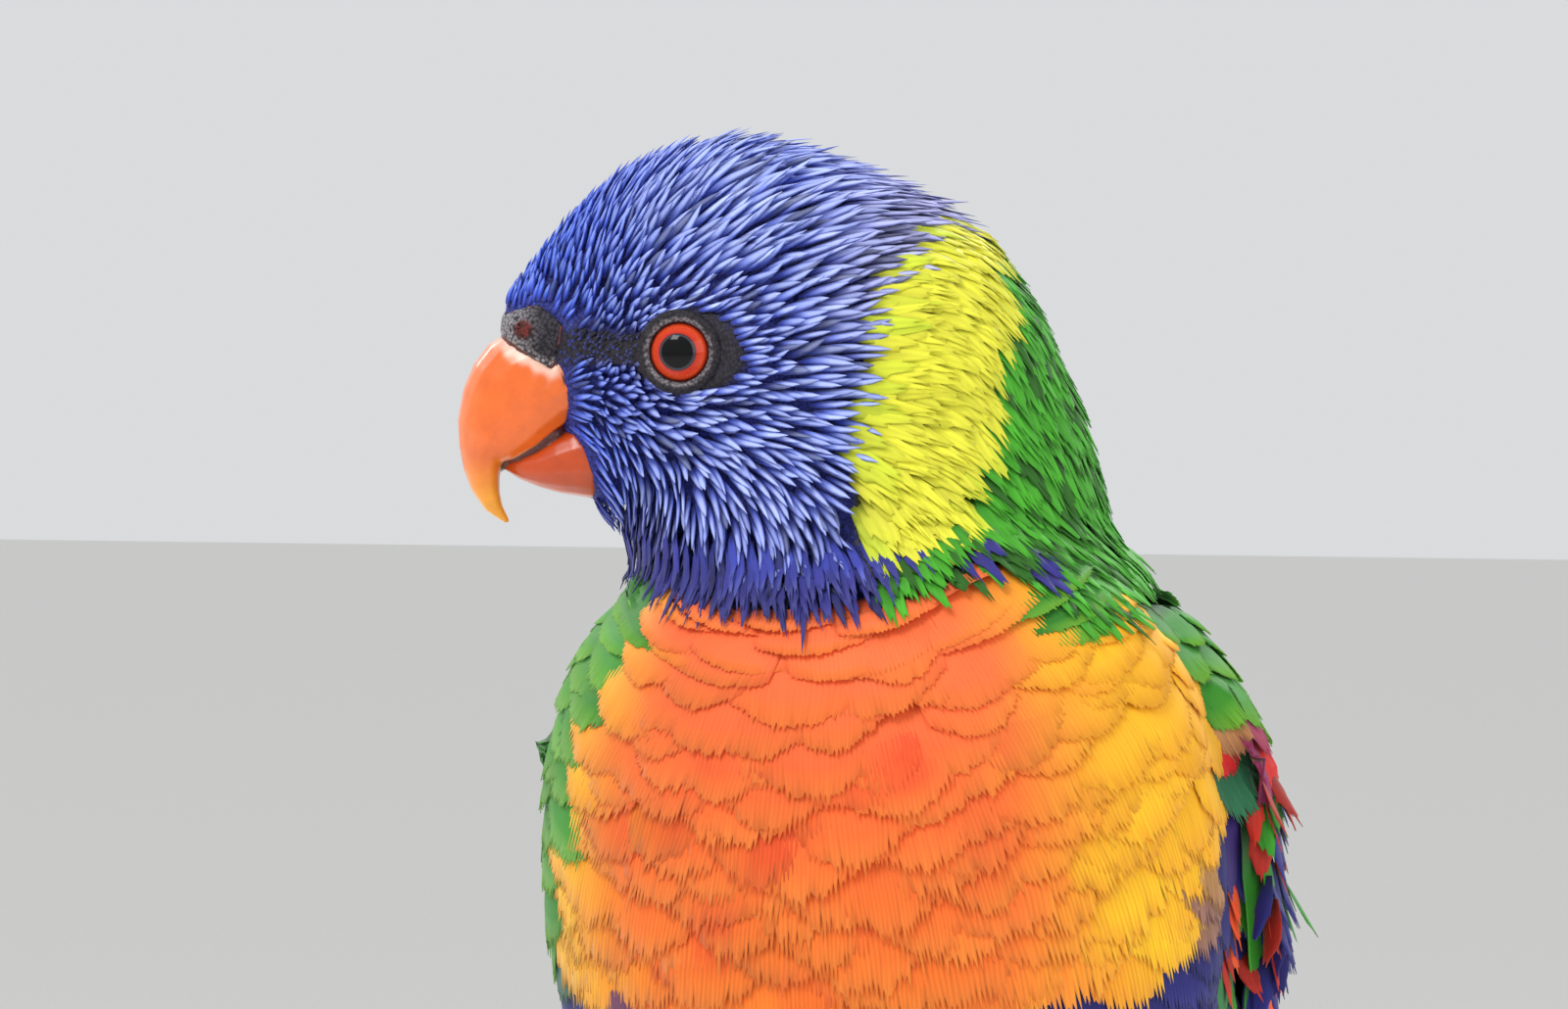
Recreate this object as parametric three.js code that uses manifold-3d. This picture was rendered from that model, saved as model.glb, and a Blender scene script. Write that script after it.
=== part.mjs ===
// A life-size rainbow lorikeet on a short perch and display stand, in millimetres, +Z up.
// The body faces -Y with its left side at +X, and the head is turned to the bird's right.
// The origin is on the underside of the base, below the bird's upright axis.
import * as THREE from "three";
import { mergeVertices } from "three/addons/utils/BufferGeometryUtils.js";
import Module from "manifold-3d";

const wasm = await Module();
wasm.setup();

// Driving sizes
const GAP = 0.3; // clearance between pieces that touch
const HEAD_TURN = THREE.MathUtils.degToRad(72); // from straight ahead towards the bird's right
const HEAD_DEPTH = 2; // the head's middle plane, forward of the upright axis
const BILL_HALF_WIDTH = 5.6;
const EYE_RADIUS = 4.3;
const EYE_APERTURE = 3.15; // radius of the opening between the lids
const EYE_PLACE = { forward: 23.2, up: 274.5, side: 13.7 };
const EYE_TURN = THREE.MathUtils.degToRad(10); // the eyes look a little forward
const TAIL_LENGTH = 125;
const TAIL_ROOT = new THREE.Vector3(0, 38.5, 136);
const TAIL_SLOPE = THREE.MathUtils.degToRad(19.8); // back from hanging straight down
const WING_RECESS = 3.6; // how deep the folded wing lies in the flank
const VANE_THICKNESS = 0.56;
const PERCH = { radius: 7.5, length: 96, y: 2, z: 142 };
const FOOT_SPREAD = 15; // from the middle plane to each foot
const TARSUS_RADIUS = 2.3;
const BASE = { radius: 62, height: 10, chamfer: 1.5, y: 20 };
const ROD_RADIUS = 3;

// How finely the round forms are drawn
const HEAD_SIDES = 24;
const BODY_SIDES = 36;

const deg = THREE.MathUtils.degToRad;
const vec = (x, y, z) => new THREE.Vector3(x, y, z);

// Smooth curves through tables

// Values at a station, on a smooth curve through rows of [station, value, value, ...].
function through(rows) {
  const slope = (i, k) => {
    const a = rows[Math.max(0, i - 1)];
    const b = rows[Math.min(rows.length - 1, i + 1)];
    return (b[k] - a[k]) / (b[0] - a[0]);
  };
  return (station) => {
    const rising = rows.at(-1)[0] > rows[0][0];
    const past = (row) => (rising ? row[0] > station : row[0] < station);
    const found = rows.findIndex(past);
    const i = Math.max(0, (found < 0 ? rows.length - 1 : Math.max(found, 1)) - 1);
    const span = rows[i + 1][0] - rows[i][0];
    const t = THREE.MathUtils.clamp((station - rows[i][0]) / span, 0, 1);
    const [t2, t3] = [t * t, t * t * t];
    return rows[i].slice(1).map((_, n) => {
      const k = n + 1;
      return (2 * t3 - 3 * t2 + 1) * rows[i][k] + (t3 - 2 * t2 + t) * span * slope(i, k)
        + (3 * t2 - 2 * t3) * rows[i + 1][k] + (t3 - t2) * span * slope(i + 1, k);
    });
  };
}

const steps = (count) => Array.from({ length: count }, (_, i) => i / (count - 1));
const mix = (a, b, t) => a + (b - a) * t;
const smooth = (x, low, high) => THREE.MathUtils.smoothstep(x, low, high);

// Solids

// A closed geometry as a solid to join and cut. An inside-out one is turned round.
function solidOf(geometry) {
  const bare = geometry.clone();
  bare.deleteAttribute("normal");
  bare.deleteAttribute("uv");
  const merged = mergeVertices(bare, 1e-4);
  const triVerts = new Uint32Array(merged.index.array);
  const vertProperties = merged.attributes.position.array;
  const make = () => new wasm.Manifold(new wasm.Mesh({ numProp: 3, vertProperties, triVerts }));
  const made = make();
  if (made.volume() > 0) return made;
  for (let i = 0; i < triVerts.length; i += 3) {
    [triVerts[i + 1], triVerts[i + 2]] = [triVerts[i + 2], triVerts[i + 1]];
  }
  return make();
}

const joined = (solids) => solids.reduce((a, b) => a.add(b));
const cutBy = (solid, ...cutters) => cutters.reduce((a, b) => a.subtract(b), solid);

// The largest closed surface of a solid, so that no loose scrap of a cut stays.
function largest(solid) {
  return solid.decompose().reduce((a, b) => (b.volume() > a.volume() ? b : a));
}

function meshOf(name, solid, material) {
  const { numProp, vertProperties, triVerts, numVert } = largest(solid).getMesh();
  const points = new Float32Array(numVert * 3);
  for (let i = 0; i < numVert; i++) {
    points.set(vertProperties.subarray(i * numProp, i * numProp + 3), i * 3);
  }
  const geometry = new THREE.BufferGeometry()
    .setAttribute("position", new THREE.BufferAttribute(points, 3))
    .setIndex(new THREE.BufferAttribute(triVerts, 1));
  const mesh = new THREE.Mesh(geometry, material);
  mesh.name = name;
  return mesh;
}

function geometryOf(points, index) {
  return new THREE.BufferGeometry().setFromPoints(points).setIndex(index);
}

// A closed skin over rings of points, each ring the same count, with a point closing each end.
function loft(rings) {
  const sides = rings[0].length;
  const last = (rings.length - 1) * sides;
  const middle = (ring) => ring.reduce((a, p) => a.add(p), vec(0, 0, 0)).divideScalar(sides);
  const points = [...rings.flat(), middle(rings[0]), middle(rings.at(-1))];
  const index = [];
  for (let j = 0; j < sides; j++) {
    const k = (j + 1) % sides;
    for (let low = 0; low < last; low += sides) {
      const high = low + sides;
      index.push(low + j, low + k, high + k, low + j, high + k, high + j);
    }
    index.push(points.length - 2, k, j, points.length - 1, last + j, last + k);
  }
  return geometryOf(points, index);
}

// A round tube along a curve, its radius a function of the share of the way along.
function taperedTube(curve, radiusAt, sides, count) {
  const { normals, binormals } = curve.computeFrenetFrames(count - 1);
  return loft(steps(count).map((t, i) => steps(sides + 1).slice(1).map((turn) => {
    const angle = turn * 2 * Math.PI;
    return curve.getPointAt(t)
      .addScaledVector(normals[i], Math.cos(angle) * radiusAt(t))
      .addScaledVector(binormals[i], Math.sin(angle) * radiusAt(t));
  })));
}

// A thin plate over rows of {at, out, half}: a point, the way out of its face, and half the
// thickness there. Both faces are split into triangles alike.
function plate(rows) {
  const [high, wide] = [rows.length, rows[0].length];
  const face = (sign) => rows.flat().map(({ at, out, half }) =>
    at.clone().addScaledVector(out, sign * half));
  const points = [...face(1), ...face(-1)];
  const under = high * wide;
  const index = [];
  const quad = (a, b, c, d) => index.push(a, b, c, a, c, d);
  for (let i = 0; i + 1 < high; i++) {
    for (let j = 0; j + 1 < wide; j++) {
      const [a, b, c, d] = [i * wide + j, i * wide + j + 1, (i + 1) * wide + j + 1, (i + 1) * wide + j];
      quad(a, b, c, d);
      index.push(under + a, under + c, under + b, under + a, under + d, under + c);
    }
    const [left, right] = [i * wide, i * wide + wide - 1];
    quad(under + left, left, left + wide, under + left + wide);
    quad(right, under + right, under + right + wide, right + wide);
  }
  for (let j = 0; j + 1 < wide; j++) {
    const top = (high - 1) * wide + j;
    quad(j + 1, j, under + j, under + j + 1);
    quad(top, top + 1, under + top + 1, under + top);
  }
  return solidOf(geometryOf(points, index));
}

// One feather. placeAt(share) gives its midline point and the way out of its face there,
// outline gives its width as a share, and lean raises its second edge.
function vane({ placeAt, width, outline, rows, ridge = 0, lean = 0 }) {
  const shares = steps(rows);
  const places = shares.map(placeAt);
  return plate(shares.map((share, i) => {
    const { at, out } = places[i];
    const next = places[Math.min(i + 1, rows - 1)].at;
    const along = next.clone().sub(places[Math.max(i - 1, 0)].at).normalize();
    const side = along.clone().cross(out).normalize().applyAxisAngle(along, lean);
    const up = side.clone().cross(along).normalize();
    const half = outline(share)[0] * width / 2;
    const body = VANE_THICKNESS / 2;
    const edge = (s) => ({ at: at.clone().addScaledVector(side, s * half), out: up, half: body });
    return ridge > 0 ? [edge(-1), { at, out: up, half: body + ridge }, edge(1)] : [edge(-1), edge(1)];
  }));
}

const POINTED = through([[0, 0.55], [0.25, 0.9], [0.55, 1], [0.8, 0.78], [0.93, 0.5], [1, 0.16]]);
const ROUNDED = through([[0, 0.6], [0.35, 0.95], [0.7, 1], [0.9, 0.76], [1, 0.34]]);

// Head and neck, in the head's own directions

const AHEAD = vec(-Math.sin(HEAD_TURN), -Math.cos(HEAD_TURN), 0);
const SIDE = vec(Math.cos(HEAD_TURN), -Math.sin(HEAD_TURN), 0); // towards the head's left
const headPoint = (forward, up, side = 0) =>
  vec(0, 0, up).addScaledVector(AHEAD, forward).addScaledVector(SIDE, side + HEAD_DEPTH);

// forward: top, bottom, half width, down the length of the head from the nape to the forehead
const HEAD = [
  [-17.4, 273.5, 267, 5], [-14.5, 279.8, 262, 11], [-9.5, 286.9, 256, 15.4], [-3, 291, 251.5, 17.6],
  [4, 294.3, 249, 18.1], [12, 296.9, 248, 17.3], [18, 297.8, 249, 15.4], [23, 297, 250, 13.7],
  [27, 295.6, 251.8, 12.2], [31, 292.9, 256, 9.5], [34, 290.2, 262.5, 6.4], [37, 286.9, 269.5, 5.1],
  [39.6, 283.6, 274.5, 4], [41.4, 281, 277.6, 2.3],
];
// height: back, front, half width, down the neck from inside the head to inside the body
const NECK = [
  [283, -8, 14, 9], [277, -15.2, 22, 14.6], [270, -19, 28, 17.4], [264, -21.1, 30.6, 18.7],
  [258, -22.3, 30.4, 19.8], [252, -22.9, 28, 21.4], [246, -23.5, 27.4, 23.6], [240, -22, 25, 23.6],
  [234, -15, 17, 17],
];

const ringAngles = (sides) => steps(sides + 1).slice(1).map((t) => t * 2 * Math.PI);

function headLoft(grow) {
  return solidOf(loft(HEAD.map(([forward, top, bottom, wide], i) => {
    const pushed = i === 0 ? -grow : i === HEAD.length - 1 ? grow : 0;
    return ringAngles(HEAD_SIDES).map((a) => headPoint(
      forward + pushed,
      (top + bottom) / 2 + ((top - bottom) / 2 + grow) * Math.cos(a),
      (wide + grow) * Math.sin(a),
    ));
  })));
}

function neckLoft(grow) {
  return solidOf(loft(NECK.map(([up, back, front, wide]) => {
    const [middle, deep] = [(front + back) / 2, (front - back) / 2 + grow];
    return ringAngles(HEAD_SIDES).map((a) =>
      headPoint(middle + deep * Math.cos(a), up, (wide + grow) * Math.sin(a)));
  })));
}

// Body

// height: middle's y, half width, depth before and behind the middle, from the neck to the rump;
// the rows below the tail's root only guide the folded wings
const BODY = [
  [262, -1, 12, 12, 12], [257, -0.5, 22, 21, 20], [251, 0, 27.5, 26, 24.5], [244, 0.5, 33.8, 30.5, 28],
  [234, 1, 38, 33.5, 30.5], [222, 2.5, 39.4, 35.5, 31.5], [208, 5, 38.6, 36, 31],
  [192, 9.5, 35.5, 34, 28.5], [176, 15.5, 30.5, 30, 25], [162, 22, 24.5, 25, 21.5],
  [150, 28, 19, 19.5, 18], [140, 32.5, 14.5, 14, 14], [130, 36.5, 11, 9.5, 10.5],
  [118, 41, 8.5, 6, 7.5], [105, 45.5, 7, 4.5, 6], [95, 49, 6, 4, 5],
];
const BODY_END = 118;
const bodyAt = through(BODY);

// A point of the body's surface at a height and an angle: 0 in front, 90 degrees at the left.
function bodyPoint(z, angle, grow = 0) {
  const [middle, wide, before, behind] = bodyAt(z);
  const turned = Math.abs(Math.atan2(Math.sin(angle), Math.cos(angle)));
  const beside = smooth(turned, deg(72), deg(86));
  const reach = smooth(z, 150, 180) * (1 - smooth(z, 246, 254));
  const offset = grow - WING_RECESS * beside * reach;
  const deep = (Math.cos(angle) > 0 ? before : behind) + offset;
  return vec((wide + offset) * Math.sin(angle), middle - deep * Math.cos(angle), z);
}

function bodyLoft(grow) {
  const between = [248, 239, 228, 215, 200, 184, 169];
  const heights = [...BODY.map(([z]) => z).filter((z) => z >= BODY_END), ...between];
  heights.sort((a, b) => b - a);
  return solidOf(loft(heights.map((z) => ringAngles(BODY_SIDES).map((a) => bodyPoint(z, a, grow)))));
}

const wholeBird = (grow) => joined([headLoft(grow), neckLoft(grow), bodyLoft(grow)]);

// A wide block that starts half a gap beyond a point and reaches on in a direction.
function block(start, direction, depth) {
  const box = new THREE.BoxGeometry(200, 200, depth).translate(0, 0, depth / 2);
  const turn = new THREE.Quaternion().setFromUnitVectors(vec(0, 0, 1), direction);
  const from = start.clone().addScaledVector(direction, GAP / 2);
  return solidOf(box.applyQuaternion(turn).translate(from.x, from.y, from.z));
}

// A thin slab across the bird, one gap thick, that parts it.
const slab = (middle, normal) => block(middle.clone().addScaledVector(normal, -GAP), normal, GAP);

const tailAlong = vec(0, Math.sin(TAIL_SLOPE), -Math.cos(TAIL_SLOPE));
const tailOut = vec(0, Math.cos(TAIL_SLOPE), Math.sin(TAIL_SLOPE)); // out of the tail's upper side
const RUMP_CUT = vec(0, 36, 134);
const NECK_CUT_HEIGHT = 249.5;
const [NAPE, THROAT] = [headPoint(-19, 274), headPoint(31.5, 257.5)];

// The head, neck, torso and root of the tail as four solids, parted by thin cuts.
function partedBird() {
  const slope = THROAT.clone().sub(NAPE).cross(SIDE).normalize();
  const headCut = slab(NAPE.clone().lerp(THROAT, 0.5), slope);
  const neckCut = slab(vec(0, 0, NECK_CUT_HEIGHT), vec(0, 0, 1));
  const rumpCut = slab(RUMP_CUT, tailAlong);
  const pieces = cutBy(wholeBird(0), headCut, neckCut, rumpCut).decompose();
  const height = (solid) => solid.boundingBox().max[2];
  const [head, neck, torso, tailRoot] = pieces.filter((s) => s.volume() > 10)
    .sort((a, b) => height(b) - height(a));
  return { head, neck, torso, tailRoot };
}

// Bill and cere

// share of the way along the bill: the ridge's forward and up, the cutting edge's forward and up,
// and half the width
const UPPER_BILL = [
  [-0.5, 36, 277, 28, 268.5, 5.2], [0, 42.2, 276, 33.4, 267.7, BILL_HALF_WIDTH],
  [0.14, 44.4, 274, 35.6, 266.5, 5.5], [0.3, 46.1, 270.6, 38.2, 264.4, 5],
  [0.42, 46.75, 267.2, 40.4, 263.1, 4.4], [0.55, 46.6, 264.2, 42.2, 262.6, 3.3],
  [0.7, 45.9, 261, 42.6, 260.4, 2.2], [0.85, 44.4, 258.1, 42.4, 258.4, 1.25],
  [0.96, 42.5, 256.5, 41.9, 256.9, 0.5], [1, 41.7, 256.1, 41.5, 256.3, 0.2],
];
// the same for the lower bill, from its keel to its cutting edge
const LOWER_BILL = [
  [-0.5, 28, 257.6, 28, 268.2, 5], [0, 32.8, 258.9, 33.2, 267.2, 5.1], [0.3, 35.6, 259.3, 36, 265.8, 4.7],
  [0.6, 38.4, 260.1, 38.7, 264, 3.8], [0.85, 40.9, 261.2, 41.1, 263, 2.5], [1, 42, 262, 42.1, 262.6, 0.9],
];
// the same for the band round the root of the upper bill that carries the nostrils
const CERE = [
  [0, 39.4, 280.4, 32.6, 274.8, 6.3], [0.55, 41.5, 279, 34.2, 273.2, 6.4],
  [0.85, 42.5, 277.4, 35, 271.9, 6.1], [1, 42.4, 276.3, 35.1, 271.1, 5.6],
];
const NOSTRIL = { forward: 39.8, up: 276.7, side: 4.6, radius: 0.9 };

// The sections' sides are rounded by the power above, and by the power below towards the low line.
function billLoft(rows, count, sides, grow, above, below = above) {
  const at = through(rows);
  return solidOf(loft(steps(count).map((t) => {
    const [topF, topU, lowF, lowU, wide] = at(mix(rows[0][0], rows.at(-1)[0], t));
    const middle = new THREE.Vector2((topF + lowF) / 2, (topU + lowU) / 2);
    const half = new THREE.Vector2((topF - lowF) / 2, (topU - lowU) / 2);
    const reach = half.length();
    return ringAngles(sides).map((a) => {
      const round = (x, power) => Math.sign(x) * Math.abs(x) ** power;
      const across = round(Math.cos(a), above) * (reach + grow) / reach;
      const aside = (wide + grow) * round(Math.sin(a), Math.cos(a) < 0 ? below : above);
      return headPoint(middle.x + half.x * across, middle.y + half.y * across, aside);
    });
  })));
}

const upperBill = (grow) => billLoft(UPPER_BILL, 14, 16, grow, 0.86, 0.45);
const lowerBill = (grow) => billLoft(LOWER_BILL, 8, 14, grow, 0.8);
const cereBand = (grow) => billLoft(CERE, 5, 16, grow, 0.9);

// Eyes and lids

function eyeTurned(geometry, left) {
  const look = SIDE.clone().multiplyScalar(left).applyAxisAngle(vec(0, 0, 1), -left * EYE_TURN);
  const turn = new THREE.Quaternion().setFromUnitVectors(vec(0, 0, 1), look);
  const place = headPoint(EYE_PLACE.forward, EYE_PLACE.up, left * EYE_PLACE.side);
  return solidOf(geometry.applyQuaternion(turn).translate(place.x, place.y, place.z));
}

// How far the ball's middle lies behind the plane of the lids
const EYE_SINK = Math.sqrt(EYE_RADIUS ** 2 - EYE_APERTURE ** 2);
const eyeball = (left, grow = 0) =>
  eyeTurned(new THREE.SphereGeometry(EYE_RADIUS + grow, 16, 9).translate(0, 0, -EYE_SINK), left);
const lidRing = (left) => eyeTurned(new THREE.TorusGeometry(EYE_APERTURE + 0.75, 0.75, 6, 16), left);

// Folded wings

// height: how far the wing's inner face stands off the body
const STAND_OFF = through([
  [252, 0.75], [192, 0.75], [176, 2.2], [160, 4.6], [145, 6.9], [130, 8.4], [115, 8.6], [100, 7],
  [95, 6.4],
]);
// height: thickness of the fleshy part that the feathers grow from, and its front and back edges
const WING_BASE = through([
  [251, 0.9, 102, 136], [247, 2.2, 93, 148], [242, 2.9, 89, 155], [233, 2.9, 88, 161],
  [223, 2.6, 88, 164], [213, 2.3, 90, 165], [203, 1.8, 92, 161], [194, 1, 97, 154],
]);
const WING_BASE_ENDS = [251, 197];

// A point over the folded wing, by degrees round the body and lift off its inner face.
function wingPlace(degrees, z, lift, side) {
  const at = bodyPoint(z, deg(degrees), STAND_OFF(z)[0] + lift);
  const round = bodyPoint(z, deg(degrees + 1), STAND_OFF(z)[0] + lift).sub(at);
  const down = bodyPoint(z - 1, deg(degrees), STAND_OFF(z - 1)[0] + lift).sub(at);
  const out = down.cross(round).normalize();
  if (out.dot(at.clone().setZ(0)) < 0) out.negate();
  return { at: at.setX(at.x * side), out: out.setX(out.x * side) };
}

// A tier of feathers: each from its root to its tip in degrees and height, with its lift at the
// root and beyond, and its width, all worked out from its share of the way across the tier.
const TIERS = [
  { name: "primaries", count: 6, root: (t) => [mix(96, 114, t), mix(198, 204, t)],
    tip: (t) => [mix(132, 158, t), 99 + 26 * Math.max(0, t - 0.18) ** 1.1 + 5 * Math.max(0, 0.18 - t)],
    lift: [0.6, 1.1], stack: 1.3, width: 11, lean: 13, outline: POINTED, rows: 5 },
  { name: "secondaries", count: 6, root: (t) => [mix(117, 152, t), mix(205, 210, t)],
    tip: (t) => [mix(142, 166, t), mix(131, 150, t)],
    lift: [0.6, 2.6], stack: 1, width: 12, lean: 13, outline: ROUNDED, rows: 4 },
  { name: "greater coverts", count: 7, root: (t) => [mix(94, 155, t), mix(212, 215, t)],
    tip: (t) => [mix(102, 163, t), mix(186, 194, t)],
    lift: [1.2, 2.9], stack: 0.6, width: 12, lean: 8, outline: ROUNDED, rows: 3 },
  { name: "median coverts", count: 7, root: (t) => [mix(92, 153, t), mix(227, 229, t)],
    tip: (t) => [mix(96, 159, t), mix(207, 210, t)],
    lift: [2, 3.3], stack: 0, width: 11.5, lean: 8, outline: ROUNDED, rows: 3 },
  { name: "lesser coverts", count: 6, root: (t) => [mix(93, 149, t), 240],
    tip: (t) => [mix(94, 154, t), 223],
    lift: [2.2, 3.4], stack: 0, width: 11.5, lean: 8, outline: ROUNDED, rows: 3 },
];

function wingBase(side) {
  return plate(steps(6).map((t) => {
    const z = mix(...WING_BASE_ENDS, t);
    const [thick, front, back] = WING_BASE(z);
    return steps(6).map((share) => {
      const rim = 0.45 + 0.55 * Math.sin(Math.PI * share) ** 0.5;
      const half = thick * rim / 2;
      return { ...wingPlace(mix(front, back, share), z, half, side), half };
    });
  }));
}

function wingFeather(tier, t, side) {
  const [root, tip] = [tier.root(t), tier.tip(t)];
  const placeAt = (share) => {
    const raised = smooth(share, 0, 0.45);
    const lift = mix(tier.lift[0], tier.lift[1], raised) + tier.stack * t * raised;
    const middle = lift + VANE_THICKNESS / 2;
    return wingPlace(mix(root[0], tip[0], share), mix(root[1], tip[1], share), middle, side);
  };
  return vane({ ...tier, placeAt, lean: -side * deg(tier.lean) });
}

function wing(side) {
  const feathers = TIERS.flatMap((tier) => steps(tier.count).map((t) => wingFeather(tier, t, side)));
  const ownSide = block(vec(0, 0, 150), vec(side, 0, 0), 100);
  const whole = joined([wingBase(side), ...feathers]).intersect(ownSide);
  return largest(cutBy(whole, bodyLoft(GAP), neckLoft(GAP), headLoft(GAP)));
}

// Tail

// Each long feather's value for the middle pair, and how much it changes with each pair outwards
const TAIL_PAIRS = 6;
const TAIL_PAIR = {
  length: [TAIL_LENGTH, -0.075 * TAIL_LENGTH],
  splay: [0.5, 0.95], // degrees
  lift: [2.2, -0.88],
  across: [1.7, 0.75],
  width: [12, -0.4],
};

function tailFeather(side, pair) {
  const value = (name) => TAIL_PAIR[name][0] + TAIL_PAIR[name][1] * pair;
  const start = TAIL_ROOT.clone().addScaledVector(tailOut, value("lift"));
  start.x = side * value("across");
  const along = tailAlong.clone().applyAxisAngle(tailOut, side * deg(value("splay")));
  const placeAt = (share) => ({
    at: start.clone().addScaledVector(along, value("length") * share),
    out: tailOut,
  });
  return vane({ placeAt, width: value("width"), outline: POINTED, rows: 5, lean: side * deg(4) });
}

// Short feathers over the tail's root, on its upper side or, with a negative lift, under it.
function tailCovert(across, length, lift) {
  const start = TAIL_ROOT.clone().addScaledVector(tailOut, lift * 0.72);
  start.x = across * 4.2;
  const placeAt = (share) => {
    const rise = tailOut.clone().multiplyScalar(lift * 0.28 * smooth(share, 0, 0.5));
    const at = start.clone().addScaledVector(tailAlong, length * share).add(rise);
    return { at: at.setX(at.x * (1 - 0.2 * share)), out: tailOut };
  };
  return vane({ placeAt, width: 9, outline: ROUNDED, rows: 4, lean: across * deg(6) * Math.sign(lift) });
}

function tail(tailRoot) {
  const pairs = Array.from({ length: TAIL_PAIRS }, (_, pair) => pair);
  const half = (side) => joined(pairs.map((pair) => tailFeather(side, pair)))
    .intersect(block(vec(-side * GAP / 2, 0, 100), vec(side, 0, 0), 100));
  const long = [half(-1), half(1)];
  const above = [-1, 0, 1].map((n) => tailCovert(n, 44 - 7 * Math.abs(n), 4.2));
  const below = [-1, 0, 1].map((n) => tailCovert(n, 58 - 9 * Math.abs(n), -4.4));
  const feathers = joined([...long, ...above, ...below]);
  return joined([tailRoot, feathers.intersect(block(RUMP_CUT, tailAlong, 200))]);
}

// Legs and feet

// Each toe: how far it reaches round the perch, how far it spreads outwards, its claw's reach.
const TOES = [
  { name: "inner_front", reach: 84, spread: -5, claw: 30 },
  { name: "outer_front", reach: 118, spread: 3.5, claw: 34 },
  { name: "outer_back", reach: -104, spread: 6.5, claw: -34 },
  { name: "inner_back", reach: -66, spread: -4, claw: -28 },
];
const TOE_RADIUS = [2, 1.45]; // at the foot and at the claw
const CLAW_RADIUS = [1.25, 0.15];
const CLAW_GAP = 1.9; // degrees round the perch
const CLAW_ARCH = 1.1;
const CURL_RADIUS = PERCH.radius + TOE_RADIUS[0] + GAP;

// A point round the perch: degrees from its top, forward positive.
function roundPerch(x, degrees, radius) {
  return vec(x, PERCH.y - radius * Math.sin(deg(degrees)), PERCH.z + radius * Math.cos(deg(degrees)));
}

function toe({ reach, spread }, side) {
  const points = steps(6).map((t) => roundPerch(
    side * (FOOT_SPREAD + spread * smooth(t, -0.1, 0.75)), reach * t, CURL_RADIUS - 0.35 * t));
  const knuckled = (t) => mix(...TOE_RADIUS, t) * (1 + 0.07 * Math.cos(t * 6 * Math.PI));
  return solidOf(taperedTube(new THREE.CatmullRomCurve3(points), knuckled, 8, 7));
}

function claw({ reach, spread, claw: bend }, side) {
  const start = reach + Math.sign(reach) * CLAW_GAP;
  const points = steps(5).map((t) => {
    const radius = CURL_RADIUS - 0.4 - 0.6 * t + CLAW_ARCH * Math.sin(Math.PI * t);
    return roundPerch(side * (FOOT_SPREAD + spread), start + bend * t, radius);
  });
  const line = new THREE.CatmullRomCurve3(points);
  return solidOf(taperedTube(line, (t) => mix(...CLAW_RADIUS, t ** 1.2), 6, 5));
}

function thigh(side, grow) {
  const line = new THREE.CatmullRomCurve3([
    vec(side * 16, 13, 174), vec(side * 16, 8.5, 167),
    vec(side * 15.4, 5, 160.5), vec(side * FOOT_SPREAD, 3.2, 155.5),
  ]);
  const radius = through([[0, 9.5], [0.4, 9], [0.75, 6.2], [1, 3.5]]);
  return solidOf(taperedTube(line, (t) => radius(t)[0] + grow, 16, 8));
}

function foot(side) {
  const sole = vec(side * FOOT_SPREAD, PERCH.y - 0.3, PERCH.z + CURL_RADIUS - 0.4);
  const ankle = vec(side * FOOT_SPREAD, 4.4, 159);
  const line = new THREE.LineCurve3(sole, ankle);
  const shank = solidOf(taperedTube(line, (t) => TARSUS_RADIUS + 0.5 * (1 - t), 10, 4));
  const whole = joined([shank, ...TOES.map((t) => toe(t, side))]);
  return cutBy(whole, solidOf(perchGeometry(GAP)), thigh(side, GAP), bodyLoft(GAP));
}

// Perch and stand

function perchGeometry(grow = 0) {
  const end = (side) => vec(side * PERCH.length / 2, PERCH.y, PERCH.z);
  const line = new THREE.LineCurve3(end(-1), end(1));
  return taperedTube(line, () => PERCH.radius + grow, 24, 3);
}

function standBase() {
  const { radius, height, chamfer, y } = BASE;
  const outline = [
    [0, 0], [radius, 0], [radius, height - chamfer], [radius - chamfer, height], [0, height],
  ];
  const turned = new THREE.LatheGeometry(outline.map(([r, h]) => new THREE.Vector2(r, h)), 40);
  return solidOf(turned.rotateX(Math.PI / 2).translate(0, y, 0));
}

function standRod() {
  const low = BASE.height + GAP;
  const high = PERCH.z - PERCH.radius - GAP;
  const rod = new THREE.CylinderGeometry(ROD_RADIUS, ROD_RADIUS, high - low, 16);
  return solidOf(rod.rotateX(Math.PI / 2).translate(0, PERCH.y, (low + high) / 2));
}

// Materials

const finish = (color, roughness, metalness = 0) =>
  new THREE.MeshStandardMaterial({ color, roughness, metalness });
const LOOKS = {
  hood: finish(0x4a5fc4, 0.6),
  breast: finish(0xe8642a, 0.65),
  green: finish(0x3d8b28, 0.55),
  nape: finish(0xd8d92c, 0.6),
  bill: finish(0xee6a2c, 0.3),
  cere: finish(0x68656a, 0.7),
  eye: finish(0x7a1c12, 0.08),
  skin: finish(0x6a6763, 0.75),
  claw: finish(0x2a2725, 0.35),
  branch: finish(0x8b7257, 0.85),
  board: finish(0x3a2a20, 0.45),
  brass: finish(0xb08d4a, 0.35, 1),
};

// Assembly

const bird = partedBird();
const nearBird = wholeBird(GAP);
const root = new THREE.Group();
const add = (name, solid, look) => root.add(meshOf(name, solid, LOOKS[look]));

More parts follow.
